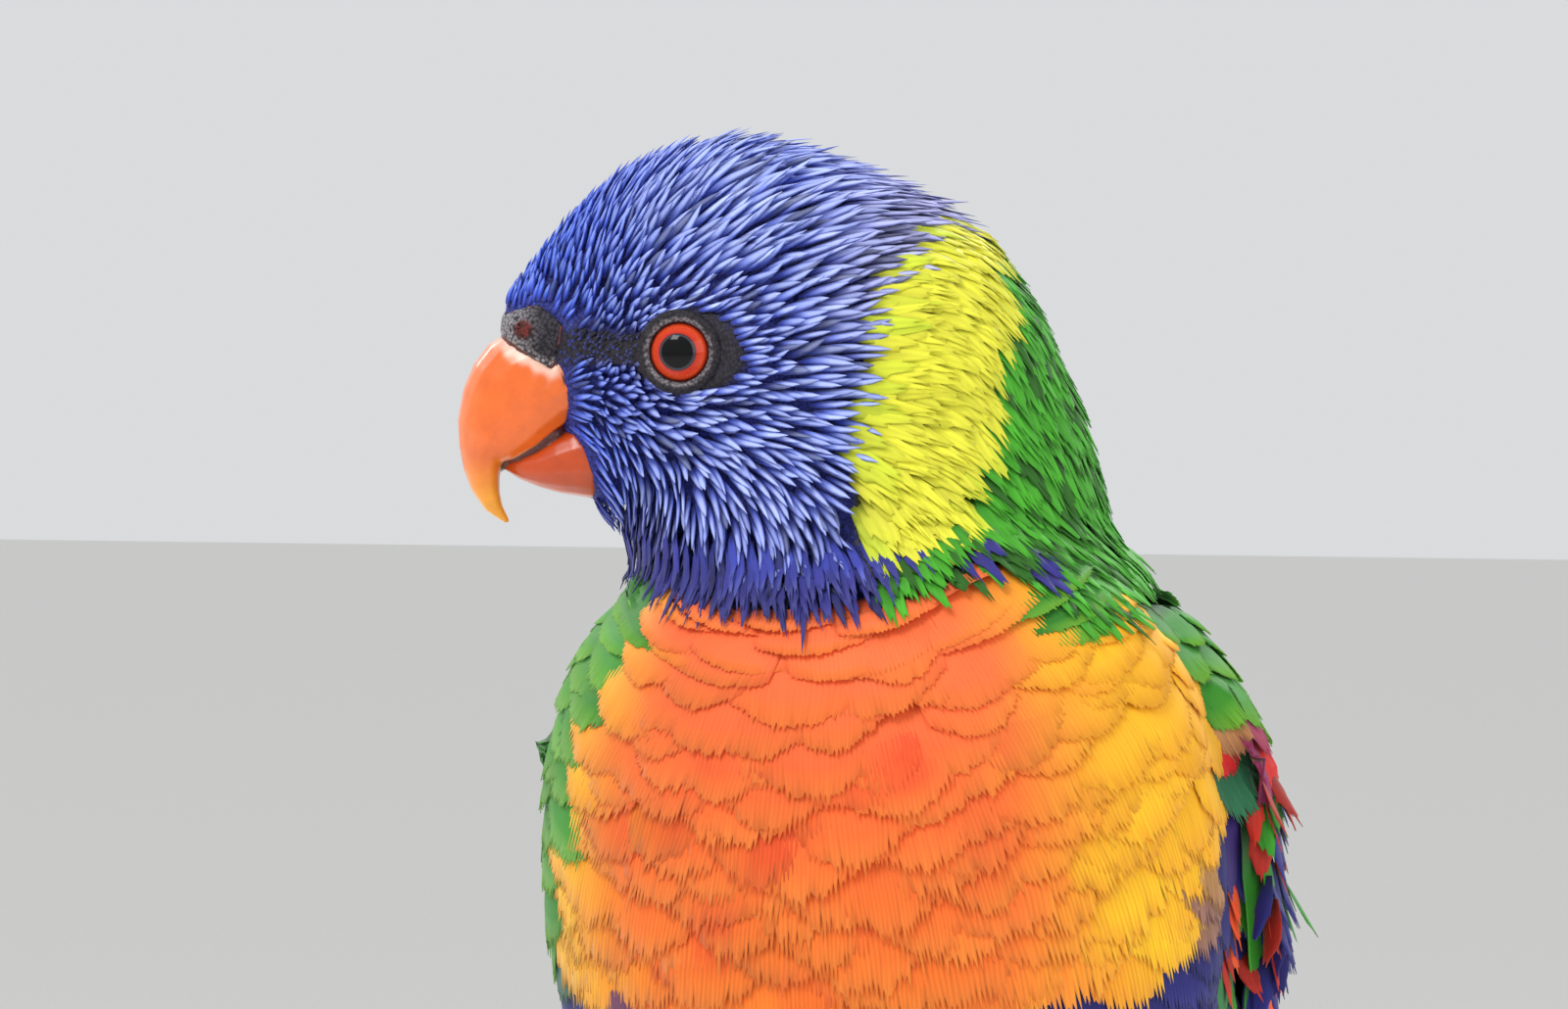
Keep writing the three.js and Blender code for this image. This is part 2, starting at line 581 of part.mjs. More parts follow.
const nostrils = [-1, 1].map((side) => {
  const place = headPoint(NOSTRIL.forward, NOSTRIL.up, side * NOSTRIL.side);
  return solidOf(new THREE.SphereGeometry(NOSTRIL.radius, 8, 6).translate(place.x, place.y, place.z));
});
const lidded = joined([bird.head, lidRing(-1), lidRing(1)]);
add("head", cutBy(lidded, eyeball(-1, GAP), eyeball(1, GAP)), "hood");
add("neck", bird.neck, "nape");
add("torso", bird.torso, "breast");
add("cere", cutBy(cereBand(0), nearBird, ...nostrils), "cere");
add("bill_upper", cutBy(upperBill(0), nearBird, cereBand(GAP)), "bill");
add("bill_lower", cutBy(lowerBill(0), nearBird, cereBand(GAP), upperBill(GAP)), "bill");
for (const [word, side] of [["right", -1], ["left", 1]]) {
  add(`eye_${word}`, eyeball(side), "eye");
  add(`wing_${word}`, wing(side), "green");
  add(`thigh_${word}`, cutBy(thigh(side, 0), bodyLoft(GAP)), "green");
  add(`foot_${word}`, foot(side), "skin");
  TOES.forEach((t) => add(`claw_${word}_${t.name}`, claw(t, side), "claw"));
}
add("tail", tail(bird.tailRoot), "green");
add("perch", solidOf(perchGeometry()), "branch");
add("stand_base", standBase(), "board");
add("stand_rod", standRod(), "brass");

export default root;
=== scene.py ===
import math
from functools import partial

import bpy
import numpy as np
from mathutils import Matrix, Vector
from mathutils.bvhtree import BVHTree
from mathutils.kdtree import KDTree


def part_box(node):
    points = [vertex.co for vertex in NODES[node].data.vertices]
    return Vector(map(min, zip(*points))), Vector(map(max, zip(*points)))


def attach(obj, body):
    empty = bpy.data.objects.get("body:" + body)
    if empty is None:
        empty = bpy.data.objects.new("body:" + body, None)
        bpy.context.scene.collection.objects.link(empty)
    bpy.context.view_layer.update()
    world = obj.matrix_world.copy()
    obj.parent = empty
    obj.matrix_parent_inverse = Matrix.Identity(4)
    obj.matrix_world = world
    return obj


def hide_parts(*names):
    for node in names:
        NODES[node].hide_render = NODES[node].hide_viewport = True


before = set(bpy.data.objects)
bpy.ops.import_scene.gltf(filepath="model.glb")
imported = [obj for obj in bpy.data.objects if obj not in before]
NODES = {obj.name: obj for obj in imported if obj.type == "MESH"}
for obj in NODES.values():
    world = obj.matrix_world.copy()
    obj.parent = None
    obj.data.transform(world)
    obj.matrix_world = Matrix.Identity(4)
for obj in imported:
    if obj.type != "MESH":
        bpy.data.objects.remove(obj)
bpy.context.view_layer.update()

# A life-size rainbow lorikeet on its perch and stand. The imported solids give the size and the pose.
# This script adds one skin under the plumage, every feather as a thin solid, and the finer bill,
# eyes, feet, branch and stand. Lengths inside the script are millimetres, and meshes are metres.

bl_info = {
    "name": "Rainbow Lorikeet",
    "version": (1, 0, 0),
    "blender": (4, 5, 0),
    "location": "View3D > Sidebar > Lorikeet",
    "description": "Dresses the perched lorikeet with skin, feathers, bill, eyes, feet and stand",
    "category": "Add Mesh",
}

MM = 0.001
UP = np.array([0.0, 0.0, 1.0])

# The bird's own directions and places, as in the solids
HEAD_TURN = math.radians(72)
HEAD_DEPTH = 2.0  # how far the head's middle lies to the left of the world's axis
AHEAD = np.array([-math.sin(HEAD_TURN), -math.cos(HEAD_TURN), 0.0])
BESIDE = np.array([math.cos(HEAD_TURN), -math.sin(HEAD_TURN), 0.0])
BILL_ROOT = (37.0, 270.0)  # forward and up, the point that the face feathers spread from
EYE_FORWARD, EYE_UP, EYE_SIDE = 23.2, 274.5, 13.7
EYE_LOOK = math.radians(10)
EYE_RADIUS = 4.3
EYE_APERTURE = 3.15
BARE_PATCH = (22.5, 274.4)  # forward and up, the middle of the bare skin round the eye
BARE_REACH = (5.5, 4.4)  # how far it reaches along and up
DISC_SPAN = 10.0  # how wide the eye's disc map is
OFF_DISC = 0.6  # a place on it outside all of its rings
NOSTRIL = (39.8, 276.7)  # forward and up
COLLAR_LOW = 256.5  # the lowest yellow of the collar
NECK_MIDDLE = np.array([-4.75, -1.55, 262.0])  # the breast and mantle feathers spread from here
# The body's middle line, from the tail up: its heights and how far back it is at each
SPINE_HEIGHT = [60.0, 95.0, 130.0, 162.0, 192.0, 222.0, 250.0]
SPINE_Y = [62.0, 49.0, 36.5, 22.0, 9.5, 2.5, 0.0]
TAIL_ROOT = np.array([0.0, 38.5, 136.0])
TAIL_SLOPE = math.radians(19.8)
TAIL_ALONG = np.array([0.0, math.sin(TAIL_SLOPE), -math.cos(TAIL_SLOPE)])
TAIL_OUT = np.array([0.0, math.cos(TAIL_SLOPE), math.sin(TAIL_SLOPE)])
TAIL_LENGTH = 125.0
THIGH_SIDE = 15.3
RING_OFFSET, RING_THICK = 0.62, 0.72  # of the beaded ring outside the eye's aperture
PERCH_RADIUS = 7.5
BARK = 0.35  # room for the bark's relief
ALIGNED = 0.9  # a face looks along an axis when its normal reaches further than this along it

# The body feathers' midlines, started round the neck and marched over the body
RAYS = 540  # midlines round the body
STEP = 1.5  # from one place on a midline to the next
PLACES = 104  # places on each midline
BAND_MIDDLE = np.array([-3.5, 0.0, 277.0])  # the breast's bands are arcs round this, seen from the front
CROWN_HEIGHT = 276.0  # hood feathers above this are the crown's, and those below it the cheeks'
PULLED_APART = 2.4  # a feather that a form moves further than this is left out
HUG = 0.15  # the share of its own shape that a feather keeps when a form wraps it

# How many random places are tried for the roots of fine and of loose feathers
MANY_DARTS = 90000
FEW_DARTS = 40000

# Outlines of the larger feathers: places along them, and the share of the full width there
POINTED = ([0, 0.15, 0.5, 0.85, 0.96, 1], [0.5, 0.8, 1.0, 0.8, 0.45, 0.12])
TAPERED = ([0, 0.2, 0.55, 0.8, 0.93, 1], [0.5, 0.85, 1, 0.8, 0.5, 0.12])
BLUNT = ([0, 0.2, 0.6, 0.9, 1], [0.4, 0.85, 1.0, 0.85, 0.5])

# Tail coverts side by side, and those over their joints
FIVE_ACROSS = (-1.5, -0.5, 0.5, 1.5, 0)
THREE_ACROSS = (-1, 0, 1)

# The unwrap of the skin and of the small feathers
UNWRAP_HEIGHT = 300.0
UNWRAP_EDGE = 0.01
PATCH = 0.003  # how wide each feather's patch is on it

# The photograph's frame, 1600 by 1030 pixels at 9.6 pixels to the millimetre, and its light
PIXELS_WIDE = 1600
PIXELS_PER_MM = 9.6
CAMERA_AZIMUTH = math.radians(18)
CAMERA_RISE = math.radians(2)
FRAME_MIDDLE_RIGHT = -12.3
FRAME_MIDDLE_UP = 258.0
LENS_MM = 200.0
SENSOR_MM = 36.0
SKY_STRENGTH = 0.88


def linear(code):
    """An sRGB hex value as linear red, green and blue."""
    shares = [int(code[i : i + 2], 16) / 255 for i in (1, 3, 5)]
    return tuple(s / 12.92 if s <= 0.04045 else ((s + 0.055) / 1.055) ** 2.4 for s in shares)


def paint(name, description, code):
    """A colour property."""
    return bpy.props.FloatVectorProperty(
        name=name, description=description, subtype="COLOR", size=3, min=0, max=1, default=linear(code)
    )


def length(name, description, millimetres):
    """A length property."""
    return bpy.props.FloatProperty(
        name=name, description=description, subtype="DISTANCE", unit="LENGTH", min=0,
        default=millimetres * MM,
    )


class LorikeetColours(bpy.types.PropertyGroup):
    """Colours of the plumage and the bare parts."""

    crown: paint("Crown", "Pale streak along each crown feather", "#b4c2fb")
    hood: paint("Hood", "Blue of the face and crown", "#3a55c6")
    forehead: paint("Forehead", "Deep blue next to the bill", "#2146c6")
    hood_shade: paint("Hood shade", "Dark violet under and between the hood feathers", "#3540a0")
    throat: paint("Throat", "Violet blue of the lower hood", "#3a3ea4")
    collar: paint("Collar", "Yellow of the collar", "#dedb3a")
    collar_edge: paint("Collar edge", "Green at the collar's borders", "#8fbf1e")
    nape: paint("Nape", "Green below the collar", "#3f9a1e")
    nape_shade: paint("Nape shade", "Dark green between the nape feathers", "#0d3012")
    breast: paint("Breast", "Orange red of the breast", "#f06028")
    breast_light: paint("Breast light", "Orange of the lower breast", "#f0761a")
    breast_side: paint("Breast side", "Yellow of the breast's sides", "#f8b413")
    breast_shade: paint("Breast shade", "Deep red at the feathers' roots", "#b02a0a")
    belly: paint("Belly", "Dark violet blue of the belly", "#1a1a66")
    flank: paint("Flank", "Red of the flanks", "#d8220f")
    green: paint("Green", "Wings, mantle and rump", "#2f8a1c")
    green_light: paint("Light green", "Edges of the wing feathers", "#7cc232")
    green_shade: paint("Green shade", "Dark centres of the wing feathers", "#0e3416")
    vent: paint("Vent", "Yellow green of the thighs and vent", "#9db92a")
    bill: paint("Bill", "Orange red of the bill", "#f06c1c")
    bill_tip: paint("Bill tip", "Yellow at the bill's tip", "#f9a81a")
    bare_skin: paint("Bare skin", "Dark grey skin round the eye", "#34303a")
    iris: paint("Iris", "Orange red ring of the eye", "#d8341a")


class LorikeetSizes(bpy.types.PropertyGroup):
    """Sizes of the plumage."""

    skin_grain: length("Skin grain", "Side of the cells that the skin is rebuilt from", 1.1)
    head_coat: length("Head coat", "Depth of the plumage on the head", 2.2)
    neck_coat: length("Neck coat", "Depth of the plumage on the neck", 3.0)
    body_coat: length("Body coat", "Depth of the plumage on the body", 3.4)
    crown_feather: length("Crown feather", "Length of a crown feather", 7.4)
    crown_spacing: length("Crown spacing", "Distance between crown feathers", 1.0)
    breast_feather: length("Breast feather", "Length of a breast feather", 14.0)
    breast_width: length("Breast width", "Width of a breast feather", 13.0)
    breast_row: length("Breast row", "Distance between rows of breast feathers", 4.9)
    barb_spacing: length("Barb spacing", "Distance between barbs at a feather's edge", 0.5)


def colours():
    return bpy.context.scene.lorikeet_colours


def colour(name):
    """One of the colours, as an array."""
    return np.array(getattr(colours(), name))


def size(name):
    """One of the sizes, in millimetres."""
    return getattr(bpy.context.scene.lorikeet_sizes, name) / MM


# Numbers over many points at once


def unit(rows):
    """The same directions, each of length 1."""
    return rows / np.maximum(np.linalg.norm(rows, axis=-1, keepdims=True), 1e-9)


def smooth(value, low, high):
    """0 below low, 1 above high, and a soft step between them. low is always the smaller."""
    share = np.clip((value - low) / (high - low), 0, 1)
    return share * share * (3 - 2 * share)


def blend(first, second, share):
    """Between two colours, or rows of colours, by a share for each row."""
    share = np.asarray(share)[..., None]
    return np.asarray(first) * (1 - share) + np.asarray(second) * share


def head_places(points):
    """How far forward, up and to the left of the head's middle each point is."""
    return points @ AHEAD, points[..., 2], points @ BESIDE - HEAD_DEPTH


def head_point(forward, up, side=0.0):
    """The point this far forward, up and to the left of the head's middle."""
    return AHEAD * forward + BESIDE * (side + HEAD_DEPTH) + UP * up


def spine_y(height):
    """How far back the body's middle is at a height."""
    return np.interp(height, SPINE_HEIGHT, SPINE_Y)


def round_body(points):
    """Degrees round the body: 0 in front, 90 at the bird's left."""
    return np.degrees(np.arctan2(points[..., 0], spine_y(points[..., 2]) - points[..., 1]))


def eye_place(side):
    return head_point(EYE_FORWARD, EYE_UP, side * EYE_SIDE)


def eye_axis(side):
    """The way that an eye looks, a little forward of straight out."""
    turn = Matrix.Rotation(-side * EYE_LOOK, 3, "Z")
    return np.array(turn @ Vector(BESIDE * side))


# Operators on selected things


def only(*objects):
    """Leave object mode with just these selected, the first of them active."""
    if bpy.context.object and bpy.context.object.mode != "OBJECT":
        bpy.ops.object.mode_set(mode="OBJECT")
    bpy.ops.object.select_all(action="DESELECT")
    for item in objects:
        item.select_set(True)
    bpy.context.view_layer.objects.active = objects[0]


def in_edit_mode(item, *steps):
    """Run steps, each an operator with its settings, on all of the mesh."""
    only(item)
    bpy.ops.object.mode_set(mode="EDIT")
    bpy.ops.mesh.select_all(action="SELECT")
    for step, settings in steps:
        step(**settings)
    bpy.ops.object.mode_set(mode="OBJECT")


def finish_with(item, kind, **settings):
    """Add one modifier and apply it."""
    only(item)
    modifier = item.modifiers.new(kind.title(), kind)
    for name, value in settings.items():
        setattr(modifier, name, value)
    bpy.ops.object.modifier_apply(modifier=modifier.name)


def edit_some(item, kind, chosen, *steps):
    """Run steps, each an operator with its settings, on the polygons or edges that a test picks."""
    only(item)
    bpy.ops.object.mode_set(mode="EDIT")
    bpy.ops.mesh.select_mode(type="FACE")
    bpy.ops.mesh.select_all(action="DESELECT")
    bpy.ops.object.mode_set(mode="OBJECT")
    for part in getattr(item.data, kind):
        part.select = chosen(part)
    bpy.ops.object.mode_set(mode="EDIT")
    for step, settings in steps:
        step(**settings)
    bpy.ops.object.mode_set(mode="OBJECT")


def settle(item):
    """Put the object's place and turn into its mesh."""
    only(item)
    bpy.ops.object.transform_apply(location=True, rotation=True, scale=True)


def grow(item, millimetres, group=""):
    """Push the surface out, by the share that each vertex has in a group where one is named."""
    finish_with(item, "DISPLACE", strength=millimetres * MM, mid_level=0.0, vertex_group=group)


def remesh(item, grain):
    """Rebuild the mesh as one surface of cells a grain across."""
    finish_with(item, "REMESH", mode="VOXEL", voxel_size=grain * MM, use_smooth_shade=True)


def relax(item, passes):
    """Smooth the surface in a number of passes."""
    finish_with(item, "SMOOTH", factor=0.5, iterations=passes)


def round_edges(item, width, sharp):
    """Bevel the edges that turn by more than sharp degrees, and shade the rest smooth."""
    finish_with(
        item, "BEVEL", width=width * MM, segments=3, limit_method="ANGLE",
        angle_limit=math.radians(sharp),
    )
    bpy.ops.object.shade_smooth_by_angle(angle=math.radians(35))


def weigh(item, name, shares):
    """Make a vertex group with each vertex's share, and give its name."""
    group = item.vertex_groups.new(name=name)
    for i, share in enumerate(shares.tolist()):
        group.add([i], share, "REPLACE")
    return group.name


def cylinder(name, vertices, radius, depth, middle, turn=0.0):
    """A cylinder in metres, upright or turned round Y, with its place put into its mesh."""
    bpy.ops.object.select_all(action="DESELECT")
    bpy.ops.mesh.primitive_cylinder_add(
        vertices=vertices, radius=radius, depth=depth, location=middle, rotation=(0, turn, 0)
    )
    made = bpy.context.object
    made.name = name
    settle(made)
    return made


def copy_of_nodes(name, nodes):
    """One mesh with the shapes of these CAD nodes, their loose triangles merged."""
    copies = []
    for node in nodes:
        made = bpy.data.objects.new(name, NODES[node].data.copy())
        bpy.context.scene.collection.objects.link(made)
        copies.append(made)
    only(*copies)
    if len(copies) > 1:
        bpy.ops.object.join()
    made = bpy.context.view_layer.objects.active
    made.name = name
    made.data.name = name
    made.data.materials.clear()
    in_edit_mode(made, (bpy.ops.mesh.remove_doubles, {"threshold": 0.00002}))
    return made


def rebuilt(name, nodes, grain, passes):
    """A copy of some nodes as one fine, rounded skin, with its cells a grain across."""
    made = copy_of_nodes(name, nodes)
    remesh(made, grain)
    relax(made, passes)
    return made


def points_of(item):
    """The mesh's vertices in millimetres."""
    flat = np.empty(len(item.data.vertices) * 3, np.float32)
    item.data.vertices.foreach_get("co", flat)
    return flat.reshape(-1, 3).astype(float) / MM


def colour_points(item, rows):
    """Give each vertex its colour."""
    layer = item.data.color_attributes.new("Plumage", "FLOAT_COLOR", "POINT")
    opaque = np.column_stack([rows, np.ones(len(rows))])
    layer.data.foreach_set("color", opaque.astype(np.float32).ravel())


def map_points(item, name, places):
    """Give each corner the map place of its vertex."""
    layer = item.data.uv_layers.new(name=name)
    corners = np.empty(len(item.data.loops), np.int32)
    item.data.loops.foreach_get("vertex_index", corners)
    layer.data.foreach_set("uv", places[corners].astype(np.float32).ravel())


def hand_over(item, material, slot, *nodes):
    """Finish a piece: its material, its body and the nodes that it stands for. The slot is not used."""
    item.data.materials.clear()
    item.data.materials.append(material)
    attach(item, "root")
    if nodes:
        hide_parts(*nodes)


# Materials


def node(material, kind, settings=None, **links):
    """Add one node with its settings and its inputs, each a value or another node's output. An input
    is given by its name, or by _ and its number."""
    made = material.node_tree.nodes.new(kind)
    for name, value in (settings or {}).items():
        setattr(made, name, value)
    for name, value in links.items():
        key = int(name[1:]) if name[1:].isdigit() else name.replace("_", " ")
        socket = made.inputs[key]
        if isinstance(value, bpy.types.NodeSocket):
            material.node_tree.links.new(value, socket)
        else:
            socket.default_value = value
    return made


def new_material(name):
    """A material with no nodes yet."""
    made = bpy.data.materials.new(name)
    made.use_nodes = True
    made.node_tree.nodes.clear()
    return made


def close_material(material, **inputs):
    """Give the material its shader with these inputs."""
    shader = node(material, "ShaderNodeBsdfPrincipled", **inputs)
    node(material, "ShaderNodeOutputMaterial", Surface=shader.outputs["BSDF"])
    return material


def ramp(material, factor, stops):
    """A colour ramp with stops of place and hex or linear colour."""
    made = node(material, "ShaderNodeValToRGB", Fac=factor)
    elements = made.color_ramp.elements
    for i, (place, value) in enumerate(stops):
        element = elements[i] if i < 2 else elements.new(place)
        element.position = place
        rgb = linear(value) if isinstance(value, str) else value
        element.color = (*rgb, 1)
    return made.outputs["Color"]


def object_place(material):
    return node(material, "ShaderNodeTexCoord").outputs["Object"]


def own_tint(material):
    """The colour that each vertex of the piece holds."""
    return node(material, "ShaderNodeAttribute", {"attribute_name": "Plumage"}).outputs["Color"]


def relief(material, height, strength, distance):
    """The normal of a fine relief, its full height given in metres."""
    bump = node(material, "ShaderNodeBump", Height=height, Strength=strength, Distance=distance)
    return bump.outputs["Normal"]


def multiplied(material, first, second, share=1.0):
    """One colour darkened by another."""
    mixed = node(
        material, "ShaderNodeMix", {"data_type": "RGBA", "blend_type": "MULTIPLY"},
        _0=share, _6=first, _7=second,
    )
    return mixed.outputs[2]


def stretched_noise(material, scale, **settings):
    """Noise with its own number of cells to the metre along each axis."""
    place = node(material, "ShaderNodeMapping", Vector=object_place(material), Scale=scale)
    noise = node(
        material, "ShaderNodeTexNoise", Vector=place.outputs["Vector"], Scale=1.0, **settings
    )
    return noise.outputs["Fac"]


def keratin(name, roughness, specular, sheen):
    """A feather material, made only once. Its colour is the feathers' own."""
    made = bpy.data.materials.get(name)
    if made:
        return made
    made = new_material(name)
    return close_material(
        made, Base_Color=own_tint(made), Roughness=roughness, Specular_IOR_Level=specular,
        Sheen_Weight=sheen,
    )


def feather_keratin():
    """Feather keratin: matt barbs that scatter light softly, so it is rough with a thin sheen."""
    return keratin("feather keratin", 0.62, 0.3, 0.12)


def wing_keratin():
    """Flight feather keratin: close barbs under a faint waxy gloss."""
    return keratin("flight feather keratin", 0.45, 0.4, 0.08)


def bare_skin(hollows):
    """Bare skin: powdery and pebbled, grains about 0.35 mm across, with painted shade this dark in the
    hollows between them.
    """
    material = new_material("bare bird skin")
    grains = node(material, "ShaderNodeTexVoronoi", Vector=object_place(material), Scale=2800.0)
    apart = grains.outputs["Distance"]
    height = node(material, "ShaderNodeMath", {"operation": "SUBTRACT"}, _0=1.0, _1=apart)
    # Painted shade: white on the grains, darker in the hollows between them.
    hollow_shade = ramp(material, apart, [(0.1, "#ffffff"), (0.75, hollows)])
    return close_material(
        material, Base_Color=multiplied(material, own_tint(material), hollow_shade), Roughness=0.7,
        Specular_IOR_Level=0.35, Normal=relief(material, height.outputs[0], 0.8, 0.0001),
    )


def bill_horn():
    """Bill horn: smooth keratin, glossy under a fine grain of growth about 2 mm across."""
    material = new_material("bill horn")
    grain = node(
        material, "ShaderNodeTexNoise", Vector=object_place(material), Scale=420.0, Detail=5.0,
        Roughness=0.6,
    ).outputs["Fac"]
    cloud = ramp(material, grain, [(0.35, "#f2eeec"), (0.6, "#ffffff")])
    return close_material(
        material, Base_Color=multiplied(material, own_tint(material), cloud), Roughness=0.33,
        Specular_IOR_Level=0.5, Coat_Weight=0.25, Coat_Roughness=0.25, Subsurface_Weight=0.15,
        Subsurface_Radius=(0.003, 0.001, 0.0005), Subsurface_Scale=0.6,
        Normal=relief(material, grain, 0.25, 0.0002),
    )


def eye_gloss():
    """The eye under its wet cornea: pupil, dark inner ring, orange red iris and dark rim. Its rings
    are set by the distance from the middle of the eye's disc map."""
    material = new_material("eye under cornea")
    place = node(material, "ShaderNodeUVMap", {"uv_map": "EyeDisc"}).outputs["UV"]
    radius = node(material, "ShaderNodeVectorMath", {"operation": "LENGTH"}, _0=place)
    rings = ramp(material, radius.outputs["Value"], [
        (0.0, "#020203"), (0.165, "#020204"), (0.175, "#4a4a55"), (0.19, "#3a3038"),
        (0.205, tuple(colours().iris)), (0.27, "#e8502a"), (0.3, "#8e2012"), (0.315, "#141014"),
    ])
    fibres = node(material, "ShaderNodeTexNoise", Vector=place, Scale=60.0, Detail=3.0)
    shade = ramp(material, fibres.outputs["Fac"], [(0.3, "#c8c8c8"), (0.7, "#ffffff")])
    return close_material(
        material, Base_Color=multiplied(material, rings, shade, 0.8), Roughness=0.4,
        Specular_IOR_Level=0.03, Coat_Weight=0.8, Coat_Roughness=0.02, Coat_IOR=1.34,
    )


def foot_scales():
    """Foot skin: dry grey scales about 1.2 mm across, with painted shade in the grooves between them."""
    material = new_material("scaled foot skin")
    scales = node(
        material, "ShaderNodeTexVoronoi", {"feature": "DISTANCE_TO_EDGE"},
        Vector=object_place(material), Scale=850.0,
    ).outputs["Distance"]
    # Darker in the narrow grooves between the scales: painted shade.
    tint = ramp(material, scales, [(0.0, "#2b2826"), (0.12, "#6d6863"), (0.5, "#8a857e")])
    return close_material(
        material, Base_Color=tint, Roughness=0.68, Normal=relief(material, scales, 0.9, 0.0004)
    )


def claw_horn():
    """Claw horn: near black keratin, polished, with a faint cloud."""
    material = new_material("claw horn")
    cloud = node(
        material, "ShaderNodeTexNoise", Vector=object_place(material), Scale=600.0, Detail=3.0
    ).outputs["Fac"]
    tint = ramp(material, cloud, [(0.3, "#141212"), (0.75, "#3c3632")])
    return close_material(
        material, Base_Color=tint, Roughness=0.3, Specular_IOR_Level=0.5,
        Normal=relief(material, cloud, 0.15, 0.0002),
    )


def branch_bark():
    """Eucalypt bark: dry and fissured, strips about 3 mm wide along the branch."""
    material = new_material("branch bark")
    strips = stretched_noise(material, (60.0, 320.0, 320.0), Detail=8.0, Roughness=0.65)
    tint = ramp(material, strips, [(0.3, "#3a2c20"), (0.5, "#7b6650"), (0.72, "#a8967c")])
    return close_material(
        material, Base_Color=tint, Roughness=0.9, Normal=relief(material, strips, 0.9, 0.001)
    )


def cut_wood(middle):
    """Cut branch end: pale wood with growth rings about 1.6 mm apart round the branch's middle."""
    material = new_material("cut branch wood")
    centred = node(
        material, "ShaderNodeMapping", Vector=object_place(material),
        Location=(0.0, -middle[1], -middle[2]),
    )
    rings = node(
        material, "ShaderNodeTexWave", {"wave_type": "RINGS", "rings_direction": "X"},
        Vector=centred.outputs["Vector"], Scale=200.0, Distortion=1.5, Detail=3.0,
    )
    tint = ramp(material, rings.outputs["Fac"], [(0.2, "#b08a5a"), (0.8, "#d9ba8c")])
    return close_material(material, Base_Color=tint, Roughness=0.75)


def walnut():
    """Varnished walnut: fine straight grain about 1.4 mm wide under a satin coat."""
    material = new_material("varnished walnut")
    grain = stretched_noise(material, (40.0, 700.0, 700.0), Detail=6.0, Distortion=0.6)
    tint = ramp(material, grain, [(0.3, "#24120a"), (0.55, "#4a2a18"), (0.75, "#6b4226")])
    return close_material(
        material, Base_Color=tint, Roughness=0.42, Coat_Weight=0.5, Coat_Roughness=0.15,
        Normal=relief(material, grain, 0.12, 0.0003),
    )


def brushed_brass():
    """Brushed brass rod: fine marks round it, about 0.25 mm apart."""
    material = new_material("brushed brass")
    marks = stretched_noise(material, (60.0, 60.0, 4000.0), Detail=2.0)
    rough = node(material, "ShaderNodeMapRange", Value=marks, To_Min=0.22, To_Max=0.4)
    return close_material(
        material, Base_Color=(*linear("#c8a24e"), 1), Metallic=1.0, Roughness=rough.outputs["Result"]
    )


def pale_floor():
    """Matt studio paper."""
    material = new_material("studio paper")
    fibre = node(
        material, "ShaderNodeTexNoise", Vector=object_place(material), Scale=900.0, Detail=2.0
    )
    tint = ramp(material, fibre.outputs["Fac"], [(0.3, "#e4e3df"), (0.7, "#ecebe7")])
    return close_material(material, Base_Color=tint, Roughness=0.95)


# Surfaces that feathers lie on, by name

FORMS = {}


def form_of(name):
    """A surface that the skin operator left for the later ones: the plumage's smooth outer form, the
    cloak that covers body and wings, or a node of the bill."""
    if name not in FORMS:
        raise RuntimeError("Make the skin first, because the other pieces are fitted to its forms.")
    return FORMS[name]


class Surface:
    """A closed surface in millimetres, to find the nearest place on."""

    def __init__(self, item):
        self.points = points_of(item)
        item.data.calc_loop_triangles()
        corners = np.empty(len(item.data.loop_triangles) * 3, np.int32)
        item.data.loop_triangles.foreach_get("vertices", corners)
        self.triangles = corners.reshape(-1, 3)
        self.tree = BVHTree.FromPolygons(self.points.tolist(), self.triangles.tolist())

    def nearest(self, points):
        """The nearest places on the surface and the ways out of it there."""
        found = [self.tree.find_nearest(p) for p in points.tolist()]
        return np.array([tuple(f[0]) for f in found]), np.array([tuple(f[1]) for f in found])

    def distance(self, points):
        return np.linalg.norm(self.nearest(points)[0] - points, axis=1)

    def outermost(self, origins, directions, reach):
        """How far from each origin the surface reaches in each direction, or nan where it doesn't."""
        starts = origins + directions * reach
        found = [
            self.tree.ray_cast(tuple(s), tuple(-d), 2 * reach)[3] for s, d in zip(starts, directions)
        ]
        return np.array([np.nan if f is None or f > reach else reach - f for f in found])

    def scatter(self, keep, spacing, count, rng):
        """The places of count random ones that keep allows and that lie at least a spacing apart. The
        spacing is one length, or a rule that gives one for each place."""
        a, b, c = (self.points[self.triangles[:, i]] for i in range(3))
        area = np.linalg.norm(np.cross(b - a, c - a), axis=1)
        picked = rng.choice(len(area), count, p=area / area.sum())
        s, t = rng.random((2, count, 1))
        outside = s + t > 1
        s, t = np.where(outside, 1 - s, s), np.where(outside, 1 - t, t)
        places = a[picked] + (b - a)[picked] * s + (c - a)[picked] * t
        places = places[keep(places)]
        apart = spacing(places) if callable(spacing) else np.full(len(places), spacing)
        tree = KDTree(len(places))
        for i, place in enumerate(places.tolist()):
            tree.insert(place, i)
        tree.balance()
        free = np.ones(len(places), bool)
        chosen = []
        for i, place in enumerate(places.tolist()):
            if free[i]:
                chosen.append(i)
                for _, j, _ in tree.find_range(place, apart[i]):
                    free[j] = False
        return places[chosen]

    def march(self, starts, flow, lengths, count):
        """Lines over the surface from each start along the flow, each with count even places. Gives
        their places and the ways out of the surface there."""
        place, out = self.nearest(starts)
        lines, outs = [place], [out]
        for _ in range(count - 1):
            way = flow(place)
            way = unit(way - out * np.sum(way * out, axis=1, keepdims=True))
            place, out = self.nearest(place + way * (lengths / (count - 1))[:, None])
            lines.append(place)
            outs.append(out)
        return np.stack(lines, 1), np.stack(outs, 1)


# Feathers


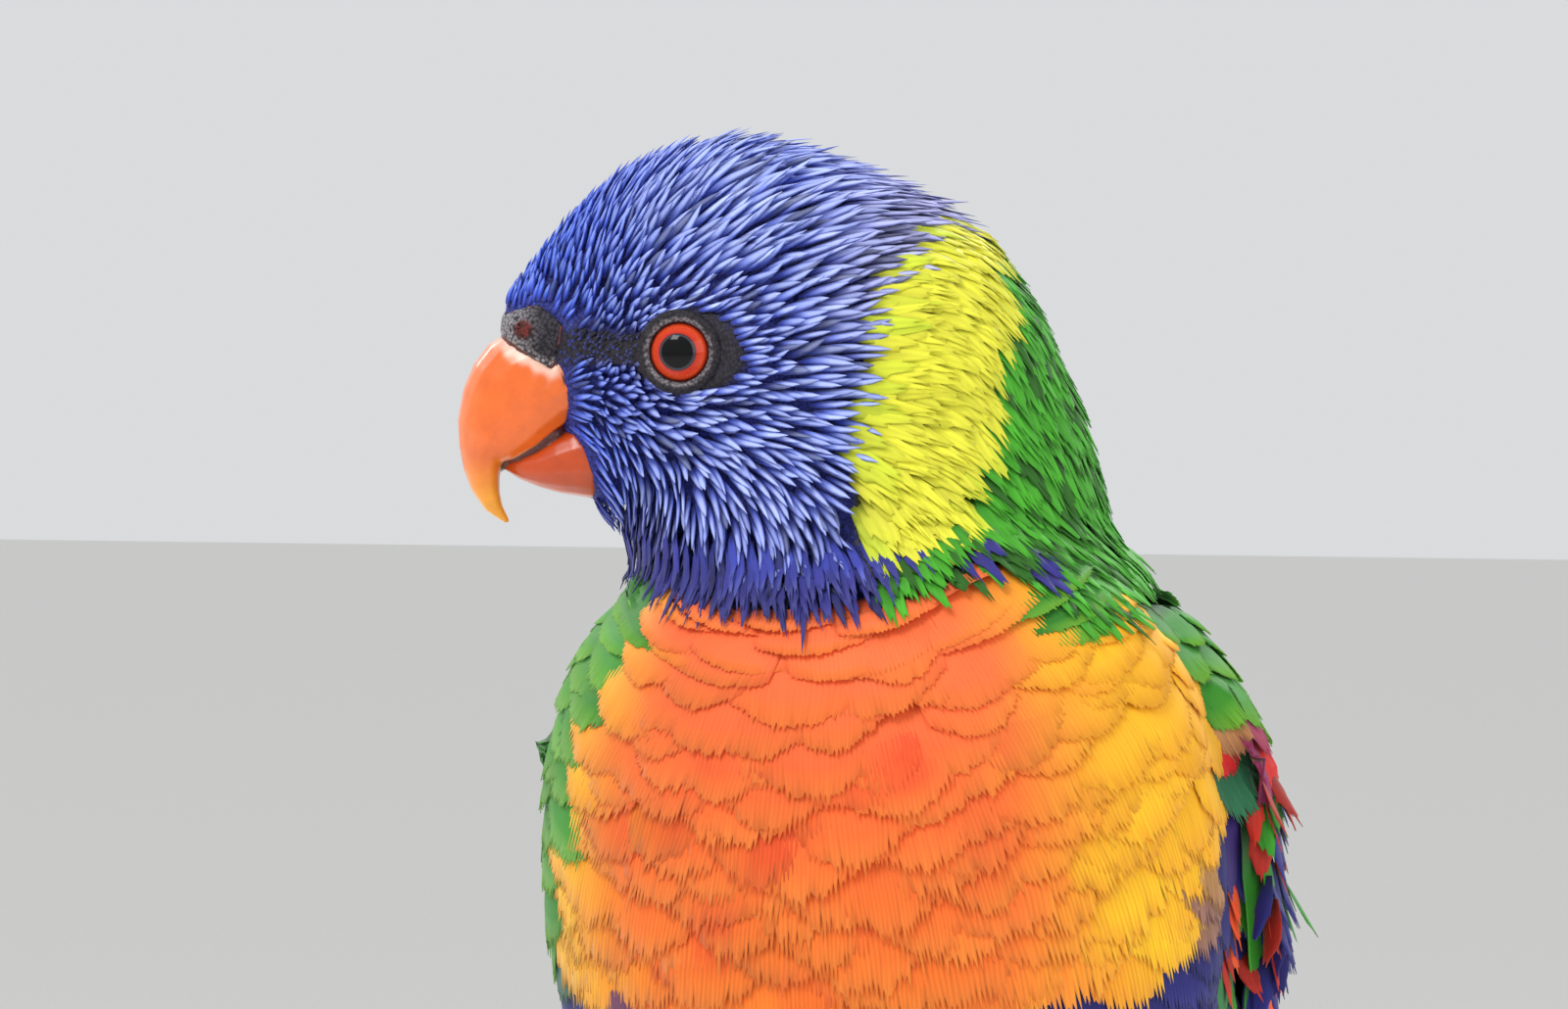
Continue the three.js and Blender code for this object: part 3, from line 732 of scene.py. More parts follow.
class FeatherShape:
    """One feather's vertices: across from -1 to 1, along from 0 to 1, how far above its midline, 1 on
    a barb's ridge and -1 beside it, and how much each moves with its barb's tip. Faces are rows of
    vertex numbers."""

    def __init__(self, across, along, above, barb, tip, faces):
        self.across, self.along, self.above = across, along, above
        self.barb, self.tip, self.faces = barb, tip, faces


def broad_vane(columns, rows, rounding, ripple, outline, thickness=0.14):
    """A thin vane with a barb to each pair of columns, ridged along them and toothed at its edge. The
    outline is places along it and its share of the full width there."""
    u = np.linspace(-1, 1, columns + 1)[None, :]
    t = np.linspace(0, 1, rows + 1)[:, None]
    along = t * (1 - rounding * u**2)
    across = u * np.interp(along, *outline)
    ridge = np.where(np.arange(columns + 1) % 2 == 0, 1.0, -1.0)[None, :] + 0 * along
    above = ripple * ridge * smooth(t, 0.1, 0.6)
    tip = np.broadcast_to(t**4, along.shape)
    wide = columns + 1
    under = along.size
    faces = []
    for i in range(rows):
        for j in range(columns):
            a = i * wide + j
            quad = (a, a + 1, a + wide + 1, a + wide)
            faces.append(quad)
            faces.append(tuple(under + corner for corner in reversed(quad)))
        left, right = i * wide, i * wide + columns
        faces.append((left, left + wide, under + left + wide, under + left))
        faces.append((right, under + right, under + right + wide, right + wide))
    for j in range(columns):
        a, b = j, rows * wide + j
        faces.append((a, under + a, under + a + 1, a + 1))
        faces.append((b, b + 1, under + b + 1, under + b))
    above = np.concatenate([(above + thickness / 2).ravel(), (above - thickness / 2).ravel()])
    across, along, ridge, tip = (np.tile(part.ravel(), 2) for part in (across, along, ridge, tip))
    return FeatherShape(across, along, above, ridge, tip, faces)


def narrow_vane(rows, outline, height):
    """A slim feather, arched over a pale streak as wide as a third of it."""
    along = np.linspace(0, 1, rows + 1)[:, None]
    spots = np.array([-1.0, -0.34, 0.0, 0.34, 1.0])[None]
    sides = spots.shape[1]
    long = along + 0 * spots
    across = spots * np.interp(along, *outline)
    above = height * (1 - spots**2) * np.interp(along, *outline)
    ridge = np.where(np.abs(spots) > 0.5, -1.0, 1.0) + 0 * along
    faces = []
    for i in range(rows):
        for j in range(sides):
            a, b = sides * i + j, sides * i + (j + 1) % sides
            faces.append((a, b, b + sides, a + sides))
    faces.append(tuple(reversed(range(sides))))
    faces.append(tuple(sides * rows + j for j in range(sides)))
    parts = (part.ravel() for part in (across, long, above, ridge, 0 * long))
    return FeatherShape(*parts, faces)


def in_rows(value, count):
    """One value, or one for each feather, as a column of count rows."""
    return np.broadcast_to(np.asarray(value, float), (count,))[:, None]


def along_lines(rows, spot):
    """Values at a place on each line, between the two stations next to it."""
    which = np.arange(len(rows))[:, None]
    low = np.clip(np.floor(spot).astype(int), 0, rows.shape[1] - 2)
    share = (spot - low)[..., None]
    return rows[which, low] * (1 - share) + rows[which, low + 1] * share


def vane_colours(shape, points, barbs, tints, streak, shaft, tip_from, shade, rim):
    """The colour of every point of every feather: see lay."""
    if callable(tints):
        root, body, tip = tints(points)
    else:
        root, body, tip = (rows[:, None] for rows in tints)
    count = len(points)
    ones = np.ones((count, 1))
    tinted = blend(root, body, smooth(shape.along, 0.05, 0.4)[None] * ones)
    tinted = blend(tinted, tip, smooth(shape.along, tip_from, 1.0)[None] * ones)
    if streak is not None:
        middle = (shape.barb > 0) * smooth(shape.along, 0.25, 0.6)
        tinted = blend(tinted, streak[:, None], middle[None] * ones)
    # Painted light on each barb's ridge and painted shade beside it, with a random tone toward the barbs'
    # tips.
    barb_shade_and_tone = (0.5 * shape.barb + 0.5 * barbs * shape.tip) * smooth(shape.along, 0.2, 0.8)
    by_shaft = np.clip(1 - np.abs(shape.across) * 4, 0, 1) * smooth(shape.along, 0.1, 0.3)
    bright = 1 + in_rows(shade, count) * barb_shade_and_tone
    bright = bright + shaft * by_shaft - rim * smooth(np.abs(shape.across), 0.85, 1.0)
    return np.clip(tinted * bright[..., None], 0, 1)


def lay(shape, lines, outs, width, lift, rng, tints, streak=None, shaft=0.0, droop=0.0, twist=0.0,
        bend=0.8, sway=0.0, ragged=0.0, tip_from=0.75, shade=0.12, rim=0.0, form=None):
    """Feathers of one shape along their lines, without those that a form would pull apart.

    lift is the height of the root and of the tip over the line, bend how late it rises, droop how
    far the edges fall, twist the slope from one edge to the other, sway how far the tip strays to a
    side and ragged how uneven the barbs' tips are. tints gives the colours of the root, the body
    and, past tip_from, the tip, for each feather or for each of its points, and streak the colour
    along its middle. shade paints light on each barb's ridge and shade beside it, with a random tone
    toward the barbs' tips, and shaft and rim the midrib and the edges. A form is a surface to wrap
    the feathers round.
    """
    count, stations = lines.shape[:2]
    barbs = np.tile(rng.normal(0, 1, (count, len(shape.along) // 2)), 2)
    along = shape.along + in_rows(ragged, count) * shape.tip * (0.6 * shape.barb + barbs * 0.5)
    spot = along * (stations - 1)
    out = unit(along_lines(outs, spot))
    side = unit(np.cross(along_lines(unit(np.gradient(lines, axis=1)), spot), out))
    half = in_rows(width, count) / 2
    first, last = (in_rows(value, count) for value in lift)
    rise = first + (last - first) * np.clip(along, 0, 1.1) ** bend
    rise = rise + shape.above - in_rows(droop, count) * shape.across**2
    rise = rise + in_rows(twist, count) * shape.across * half
    long = np.linalg.norm(np.diff(lines, axis=1), axis=2).sum(axis=1)[:, None]
    aside = shape.across * half + in_rows(sway, count) * long * along**2
    flat = along_lines(lines, spot) + side * aside[..., None]
    whole = np.ones(count, bool)
    if form is not None:
        under, out = (rows.reshape(flat.shape) for rows in form.nearest(flat.reshape(-1, 3)))
        whole = np.linalg.norm(under - flat, axis=-1).max(axis=1) < PULLED_APART
        flat = under + (flat - under) * HUG
    points = flat + out * rise[..., None]
    tinted = vane_colours(shape, points, barbs, tints, streak, shaft, tip_from, shade, rim)
    return {"points": points[whole], "colours": tinted[whole], "roots": lines[whole, 0], "shape": shape}


def some_of(batch, part):
    """The feathers of a batch that a mask picks."""
    return {**batch, **{key: batch[key][part] for key in ("points", "colours", "roots")}}


def unwrap(points):
    """Places on an unwrap of the body: the turn round the spine across, and the height up."""
    turn = round_body(points) / 360 + 0.5
    height = points[..., 2] / UNWRAP_HEIGHT
    return UNWRAP_EDGE + (1 - 2 * UNWRAP_EDGE) * np.stack([turn, height], -1)


def feather_piece(name, batches, material, slot, *nodes, islands=False):
    """One mesh of many feathers, with its colours and its map. On the map each feather has a cell of
    its own where islands are asked for, and else a patch at its root's place on the unwrap."""
    points, tints, places, corners, totals = [], [], [], [], []
    start = 0
    number = 0
    grid = math.ceil(math.sqrt(sum(len(batch["roots"]) for batch in batches)))
    for batch in batches:
        shape = batch["shape"]
        count, each = batch["points"].shape[:2]
        points.append(batch["points"].reshape(-1, 3))
        tints.append(batch["colours"].reshape(-1, 3))
        spread = np.stack([shape.across / 2, shape.along - 0.5], -1)[None]
        if islands:
            order = number + np.arange(count)
            middle = np.stack([order % grid + 0.5, order // grid + 0.5], -1) / grid
            spread = spread * 0.9 / grid
        else:
            middle = unwrap(batch["roots"])
            spread = spread * PATCH
        places.append((middle[:, None] + spread).reshape(-1, 2))
        flat = np.concatenate([np.array(face) for face in shape.faces])
        offsets = start + np.arange(count) * each
        corners.append((flat[None] + offsets[:, None]).ravel())
        totals.append(np.tile([len(face) for face in shape.faces], count))
        start += count * each
        number += count
    points, corners, totals = (np.concatenate(rows) for rows in (points, corners, totals))
    firsts = np.concatenate([[0], np.cumsum(totals)[:-1]])
    mesh = bpy.data.meshes.new(name)
    mesh.vertices.add(len(points))
    mesh.vertices.foreach_set("co", (points * MM).astype(np.float32).ravel())
    mesh.loops.add(len(corners))
    mesh.loops.foreach_set("vertex_index", corners.astype(np.int32))
    mesh.polygons.add(len(totals))
    mesh.polygons.foreach_set("loop_start", firsts.astype(np.int32))
    mesh.update(calc_edges=True)
    mesh.validate()
    item = bpy.data.objects.new(name, mesh)
    bpy.context.scene.collection.objects.link(item)
    colour_points(item, np.concatenate(tints))
    map_points(item, "OFBake", np.concatenate(places))
    only(item)
    bpy.ops.object.shade_smooth()
    hand_over(item, material, slot, *nodes)


# Where the plumage changes, in head and body places


def collar_front(up):
    """How far forward the collar reaches at each height."""
    return np.interp(up, [254.4, 259.6, 265.8, 272.0, 279.4, 285.6, 289.2, 292.0],
                     [4.5, 5.0, 4.0, 2.9, 1.9, -1.2, -3.9, -6.0])


def collar_back(up):
    """How far back the collar reaches at each height."""
    return np.interp(up, [252.0, 254.4, 258.5, 264.8, 270.0, 277.3, 281.4, 286.6],
                     [4.0, 1.9, -4.4, -7.5, -9.6, -11.7, -12.6, -10.6])


def hood_edge(forward):
    """Height of the plumage's lower edge round the neck."""
    return np.interp(forward, [-27.0, -23.5, -22.0, -17.0, -13.0, -8.5, -1.3, 5.0, 12.3, 22.0, 27.9],
                     [251.0, 249.5, 244.0, 243.5, 247.5, 249.0, 247.5, 246.0, 245.0, 246.0, 249.5])


def eye_distance(points):
    """How far outside the bare skin round the eye, 1 at its border. Places near the head's middle are
    far outside it."""
    forward, up, side = head_places(points)
    along, above = (forward - BARE_PATCH[0]) / BARE_REACH[0], (up - BARE_PATCH[1]) / BARE_REACH[1]
    return np.hypot(along, above) + 9 * (np.abs(side) < 6)


def lore_share(points):
    """1 in the dark strip between the eye and the cere."""
    forward, up, _ = head_places(points)
    middle = np.interp(forward, [24, 30, 36, 40], [275.2, 274.6, 275.0, 276.0])
    return (1 - smooth(np.abs(up - middle), 1.2, 2.6)) * smooth(forward, 25, 28)


def bill_distance(points):
    """Distance to the bill or the cere. Only places on the face are measured."""
    forward, _, _ = head_places(points)
    near = forward > 24
    distance = np.full(len(points), 20.0)
    if near.any():
        for part in ("bill_upper", "bill_lower", "cere"):
            distance[near] = np.minimum(distance[near], form_of(part).distance(points[near]))
    return distance


def belly_edge(angle):
    """Height where the breast gives way to the belly, by degrees round the body."""
    return np.interp(np.abs(angle), [0, 46, 61, 74, 80, 88, 100], [198, 203, 208, 216, 225, 235, 244])


def head_way(points):
    """The lie of the feathers on the head and neck: away from the bill, then down the neck."""
    spread = unit(points - head_point(*BILL_ROOT))
    forward, up, _ = head_places(points)
    down = unit(np.stack([0 * up, 0 * up, -np.ones_like(up)], -1) - 0.35 * AHEAD)
    low = np.maximum(1 - smooth(up, 250, 268), 0.75 * (1 - smooth(forward, -14, 2)))
    return unit(spread * (1 - low[:, None]) + down * low[:, None])


def head_tints(points, rng):
    """Root, body, tip and streak colours of hood feathers by their place."""
    forward, up, _ = head_places(points)
    count = len(points)
    front = smooth(forward, 24, 38)
    low = 1 - smooth(up, 250, 266)
    hem = 1 - smooth(up - hood_edge(forward), 7, 12)
    back = (1 - smooth(forward, 0, 16)) * smooth(up, 268, 282)
    body = blend(colour("hood"), colour("forehead"), front)
    body = blend(body, colour("throat"), low * 0.9)
    body = blend(body, linear("#5a5078"), back * 0.75)
    tip = blend(body, colour("crown"), 0.25 * (1 - front))
    streak = blend(colour("crown"), linear("#5577e0"), front * 0.85)
    streak = blend(streak, linear("#8c99ea"), low * 0.8)
    streak = blend(streak, linear("#b9b4dc"), back * 0.7)
    root = blend(colour("hood_shade"), linear("#463c62"), back * 0.8)
    pale = rng.random(count) * 0.35
    streak = blend(streak, body, pale)
    body, tip, streak = (blend(rows, linear("#2c2468"), hem * 0.75) for rows in (body, tip, streak))
    dusky = np.maximum(lore_share(points), 0.6 * (rng.random(count) < 0.08))
    body, tip, streak = (blend(rows, linear("#15131d"), dusky) for rows in (body, tip, streak))
    bright = rng.normal(1, 0.12, (count, 1))
    return root, *(np.clip(rows * bright, 0, 1) for rows in (body, tip, streak))


def breast_tints(points, noise):
    """Root, body and tip colours of the breast: lighter low down, and yellow at the sides."""
    up = points[..., 2]
    yellow = smooth(np.abs(round_body(points)) + 3 * noise, 30, 58)
    lighter = np.clip((1 - smooth(up, 200, 236)) * 0.9 + 0.05 * noise, 0, 1)
    middle = blend(colour("breast"), colour("breast_light"), lighter)
    body = blend(middle, linear("#f4703c"), 0.6 * smooth(up, 226, 244))
    body = blend(body, colour("breast_side"), yellow)
    tip = blend(middle, linear("#f8963c"), 0.4 * np.ones(up.shape))
    tip = blend(tip, colour("breast_side") * 0.85 + colour("breast") * 0.15, yellow)
    return blend(colour("breast_shade"), linear("#c05a08"), yellow), body, tip


def belly_tint(angle, up, noise, pick):
    """The violet belly, with flecks of red and green on the flanks, and the vent below it."""
    side = smooth(np.abs(angle) + 5 * noise, 76, 88) * smooth(238 - up, 0, 10)
    fleck = np.where((pick < 0.45)[..., None], colour("flank"), colour("belly"))
    fleck = np.where((pick > 0.75)[..., None], colour("green"), fleck)
    tint = blend(colour("belly"), fleck, side)
    return blend(tint, colour("vent"), smooth(178 - up + 3 * noise, 0, 10))


def green_share(places, noise):
    """1 on the back and the nape. On the right the green comes further forward than on the left."""
    up = places[..., 2]
    angle = round_body(places)
    left = np.interp(up, [215, 232, 246], [96, 88, 78])
    right = np.interp(up, [180, 196, 206, 218, 230, 238, 246], [98, 80, 62, 55, 51, 47, 43])
    front = np.where(angle > 0, left, right)
    forward, _, _ = head_places(places)
    nape = smooth(-forward, 12, 14) * smooth(up - hood_edge(forward), -0.5, 1)
    return np.maximum(smooth(np.abs(angle) + 2 * noise - front, 0.5, 1.5), nape)


def body_tints(points, rng, tips=None):
    """Root, body and tip colours of body feathers by place. A second axis holds a feather's points,
    which share that feather's chances, and its zone is the one that its tip lies in."""
    count = len(points)

    def chance(rows):
        return rows.reshape((count,) + (1,) * (points.ndim - 2)) * np.ones(points.shape[:-1])

    noise = chance(rng.normal(0, 1, count))
    pick = chance(rng.random(count))
    root, body, tip = breast_tints(points, noise)
    places = points if tips is None else tips[:, None] + 0 * points
    angle, up = round_body(places), places[..., 2]
    belly = smooth(belly_edge(angle) - up + 1.5 * noise, -1.0, 1.0)
    under = belly_tint(angle, up, noise, pick)
    green = green_share(places, noise)
    deep = blend(colour("green"), colour("green_shade"), 0.4 * pick)
    body = blend(blend(body, under, belly), deep, green)
    tip = blend(blend(tip, under * 1.25, belly), colour("green_light") * 0.8, green)
    root = blend(blend(root, under * 0.35, belly), colour("green_shade"), green)
    cloud = np.sin(points[..., 0] * 0.31 + 1.7) * np.sin(points[..., 2] * 0.37 + 0.6) + 0.6 * noise
    inner = (1 - smooth(np.abs(angle), 22, 38)) * smooth(up, 200, 208) * (1 - smooth(up, 228, 240))
    red = smooth(cloud, 0.3, 1.2) * inner * (1 - belly)
    body = blend(body, linear("#d83c18"), 0.65 * red)
    tip = blend(tip, linear("#ee5a28"), 0.65 * red)
    bright = chance(rng.normal(1, 0.055, count))[..., None]
    return root, np.clip(body * bright, 0, 1), np.clip(tip * bright, 0, 1)


def coat_depth(points):
    """How deep the plumage is over each point of the bird."""
    forward, up, _ = head_places(points)
    head = smooth(up, 258, 268)
    neck = smooth(up, 238, 248)
    depth = size("body_coat") * (1 - neck) + size("neck_coat") * neck
    depth = depth * (1 - head) + size("head_coat") * head
    face = smooth(forward, 26, 38) * smooth(up, 255, 262)
    depth = depth * (1 - 0.6 * face)
    bare = np.maximum(1 - smooth(eye_distance(points), 0.95, 1.5), lore_share(points))
    bare = bare * smooth(up, 262, 268)
    legs = 1 - smooth(up, 160, 172)
    depth = depth * (1 - 0.4 * legs) * (1 - bare) + 0.15 * bare
    joint = 1 - smooth(bill_distance(points), 0.7, 2.6)
    return depth * (1 - joint) - 0.5 * joint


class LORIKEET_OT_skin(bpy.types.Operator):
    """Rebuild the flesh nodes as one skin that lies under the plumage"""

    bl_idname = "lorikeet.skin"
    bl_label = "Skin"

    def execute(self, context):
        flesh = ("head", "neck", "torso", "thigh_left", "thigh_right")
        bridge = 0.35  # closes the gaps between the nodes
        swelling = 0.5  # keeps thin places from turning inside out
        skin = copy_of_nodes("skin", flesh)
        grow(skin, bridge)
        remesh(skin, size("skin_grain"))
        relax(skin, 8)
        grow(skin, -bridge)
        FORMS["plumage"] = Surface(skin)
        cloak = copy_of_nodes("cloak", ("neck", "torso", "wing_left", "wing_right"))
        grow(cloak, 0.5)
        remesh(cloak, 1.2)
        relax(cloak, 22)
        FORMS["cloak"] = Surface(cloak)
        bpy.data.objects.remove(cloak)
        for name in ("bill_upper", "bill_lower", "cere"):
            FORMS[name] = Surface(NODES[name])
        points = points_of(skin)
        depth = coat_depth(points)
        deepest = float(depth.max()) + swelling
        group = weigh(skin, "coat depth", (depth + swelling) / deepest)
        grow(skin, swelling)
        grow(skin, -deepest, group)
        relax(skin, 2)
        colour_points(skin, self.tints(points))
        map_points(skin, "OFBake", unwrap(points))
        hand_over(skin, bare_skin("#8a8690"), "bare_skin", *flesh)
        return {"FINISHED"}

    def tints(self, points):
        """The skin under the plumage in darker copies of the colours of the feathers over it, painted
        shade for the gaps between them, and bare round the eyes.
        """
        root, _, _ = body_tints(points, np.random.default_rng(3))
        forward, up, _ = head_places(points)
        edge = hood_edge(forward)
        # Painted shade: darker copies of the feathers' root colours, the nape's dark green, and a dark
        # yellow under the collar.
        tint = blend(root * 0.7, colour("hood_shade"), smooth(up, edge - 3, edge + 1))
        tint[(up > 246) & (forward < collar_back(up))] = colour("nape_shade")
        yellow = (up > 252) & (forward < collar_front(up)) & (forward > collar_back(up))
        tint[yellow] = np.array(linear("#8a8a14"))
        bare = np.maximum(1 - smooth(eye_distance(points), 1.05, 1.25), lore_share(points))
        return blend(tint, colour("bare_skin"), bare * smooth(up, 262, 266))


class LORIKEET_OT_hood(bpy.types.Operator):
    """Lay the narrow feathers of the crown, face and throat"""

    bl_idname = "lorikeet.hood"
    bl_label = "Hood feathers"

    def execute(self, context):
        rng = np.random.default_rng(11)
        surface = form_of("plumage")
        roots = surface.scatter(self.keep, self.spacing, count=MANY_DARTS, rng=rng)
        forward, up, _ = head_places(roots)
        count = len(roots)
        close = smooth(forward, 20, 37)
        near_eye = 1 - smooth(eye_distance(roots), 1.1, 2.2)
        lores = lore_share(roots)
        crown = smooth(up, 280, 292)
        long = size("crown_feather") * (1 - 0.52 * close) * (1 - 0.4 * near_eye) * (0.66 + 0.34 * crown)
        long = long * (1 - 0.5 * lores) * rng.normal(1, 0.12, count)
        wide = self.spacing(roots) * (0.96 + 0.2 * close) * rng.normal(1, 0.14, count)
        lines, outs = surface.march(roots, head_way, long, 4)
        stand = rng.normal(0.0, 0.14, count) + rng.normal(0.1, 0.5, count) * crown * (1 - 0.8 * close)
        stand = stand - 0.25 * lores
        root, body, tip, streak = head_tints(roots, rng)
        shape = narrow_vane(5, ([0, 0.2, 0.5, 0.85, 1], [0.6, 1.0, 1.0, 0.66, 0.06]), 0.2)
        batch = lay(
            shape, lines, outs, wide, (-coat_depth(roots) * 0.85, stand), rng, (root, body, tip),
            streak=streak, twist=rng.normal(0, 0.25, count), bend=1.1, sway=rng.normal(0, 0.09, count),
            tip_from=0.6, shade=0.08,
        )
        for name, part in (("crown", up >= CROWN_HEIGHT), ("cheek", up < CROWN_HEIGHT)):
            feather_piece(f"{name}_feathers", [some_of(batch, part)], feather_keratin(), "hood_plumage")
        return {"FINISHED"}

    def keep(self, points):
        """Above the hood's edge and ahead of the collar, outside the bare skin and off the bill."""
        forward, up, _ = head_places(points)
        collar = collar_front(up) + 3.4 - 2 * smooth(up, 280, 290)
        clear = (up > hood_edge(forward) + 5.0) & (forward > collar) & (eye_distance(points) > 1.0)
        clear[clear] = bill_distance(points[clear]) > 0.4
        return clear

    def spacing(self, points):
        """The crown's feathers are widest apart, and those by the bill and in the lores closest."""
        forward, up, _ = head_places(points)
        close = 0.5 * smooth(forward, 22, 36)
        cheek = 0.16 * (1 - smooth(up, 268, 278))
        rim = 0.35 * (1 - smooth(eye_distance(points), 1.2, 2.0))
        lores = 0.6 * lore_share(points)
        return size("crown_spacing") * (1 - np.maximum.reduce([close, cheek, rim, lores]))


class LORIKEET_OT_neck(bpy.types.Operator):
    """Lay the soft feathers of the lower hood, the collar and the nape"""

    bl_idname = "lorikeet.neck"
    bl_label = "Collar and nape feathers"

    def execute(self, context):
        rng = np.random.default_rng(12)
        surface = form_of("plumage")
        roots = surface.scatter(self.keep, self.spacing, count=MANY_DARTS, rng=rng)
        forward, up, _ = head_places(roots)
        ahead = forward + rng.normal(0, 0.5, len(roots)) - 3.2 * smooth(up, 256, 266)
        shown = (ahead < collar_front(up)) | (up < 256)
        roots, forward, up, ahead = roots[shown], forward[shown], up[shown], ahead[shown]
        count = len(roots)
        yellow = (ahead < collar_front(up)) & (ahead > collar_back(up)) & (up > COLLAR_LOW)
        green = (ahead <= collar_back(up)) | (up <= COLLAR_LOW) & (forward < -3)
        rim = smooth(np.minimum(collar_front(up) - ahead, ahead - collar_back(up)), -1, 1.5)
        tints = self.tints(roots, yellow, green, rim, rng)
        hem = 1 - smooth(up - hood_edge(forward), 6, 13)
        long = (7.0 - 1.2 * hem) * np.clip(rng.normal(1, 0.1, count), 0.8, 1.15)
        lines, outs = surface.march(roots, head_way, long, 5)
        shape = broad_vane(6, 3, 0.5, 0.03, ([0, 0.25, 0.6, 1], [0.3, 0.8, 1.0, 0.7]), 0.08)
        wide = np.where(yellow, 2.3, np.where(green, 2.0, 1.15)) * rng.normal(1, 0.12, count)
        lift = (-coat_depth(roots) * (0.8 - 0.4 * hem), rng.normal(0.0, 0.07, count) + 0.9 * hem)
        batch = lay(
            shape, lines, outs, wide, lift, rng, tints, droop=0.12, twist=rng.normal(0, 0.12, count),
            bend=0.5, sway=rng.normal(0, 0.05, count), ragged=0.18, shade=0.2,
        )
        for name, part in (("collar", yellow), ("nape", green), ("throat", ~(yellow | green))):
            feather_piece(f"{name}_feathers", [some_of(batch, part)], feather_keratin(), "collar_plumage")
        return {"FINISHED"}

    def keep(self, points):
        """Behind the hood's narrow feathers and below them, down to the plumage's lower edge."""
        forward, up, _ = head_places(points)
        soft = (forward < collar_front(up) + 3.6) | (up < 258)
        return soft & (up > hood_edge(forward) + 5) & (up < 296)

    def spacing(self, points):
        """A little closer toward the face."""
        forward, _, _ = head_places(points)
        return 1.2 - 0.28 * smooth(forward, -2, 3)

    def tints(self, roots, yellow, green, rim, rng):
        """Root, body and tip colours: gold in the collar, paler green at its borders, green with dark
        specks on the nape and more of them along the hood's lower edge as painted shade, and the hood's
        own elsewhere."""
        forward, up, _ = head_places(roots)
        count = len(roots)
        hemmed = (up < 257.5) & (forward < -3) & (forward > -14)
        root, body, tip, _ = head_tints(roots, rng)
        gold = blend(colour("collar_edge"), colour("collar"), 0.35 + 0.65 * rim)
        pick = rng.random(count)
        # Along the hood's lower edge more of the green feathers are dark: painted shade under the edge.
        # The violet feathers there are the hem's own colour.
        dark = (pick < np.where(hemmed, 0.45, 0.2)) & green
        violet = hemmed & (pick > 0.72)
        yellow, green, dark, violet = (rows[:, None] for rows in (yellow, green, dark, violet))
        body = np.where(yellow, gold, np.where(green, colour("nape"), body))
        body = np.where(dark, body * 0.35, body) * rng.normal(1, 0.09, (count, 1))
        body = np.where(violet, linear("#2e2a7c"), body)
        tip = np.where(yellow, np.minimum(gold * 1.12, 1), np.where(green, body * 1.3, tip))
        root = np.where(yellow, gold * 0.55, np.where(green, colour("nape_shade"), root))
        return root, np.clip(body, 0, 1), np.clip(tip, 0, 1)


def band_of(points):
    """How far out each place's band is."""
    away = points - BAND_MIDDLE
    return np.hypot(away[..., 0], away[..., 2])


def body_way(points):
    """The lie of the feathers on the body: across the bands, then down and back to the tail."""
    away = points - BAND_MIDDLE
    spread = unit(away * [1, 0, 1] + 0.25 * unit(points - NECK_MIDDLE))
    down = unit(np.array([0.0, 0.34, -1.0]))
    high = smooth(points[:, 2], 180, 232)[:, None]
    return unit(spread * high + down * (1 - high))


def body_lines(surface):
    """Lines down the whole body from under the hood's edge, with a place every STEP along each."""
    turns = np.linspace(0, 2 * math.pi, RAYS, endpoint=False)
    directions = np.stack([np.sin(turns), -np.cos(turns), 0 * turns], -1)
    height = hood_edge(20 * (directions @ AHEAD) + 4) + 4.5
    middle = AHEAD * 4 + BESIDE * 2 + UP * height[:, None]
    starts = middle + directions * surface.outermost(middle, directions, 60.0)[:, None]
    return surface.march(starts, body_way, np.full(RAYS, STEP * (PLACES - 1)), PLACES)


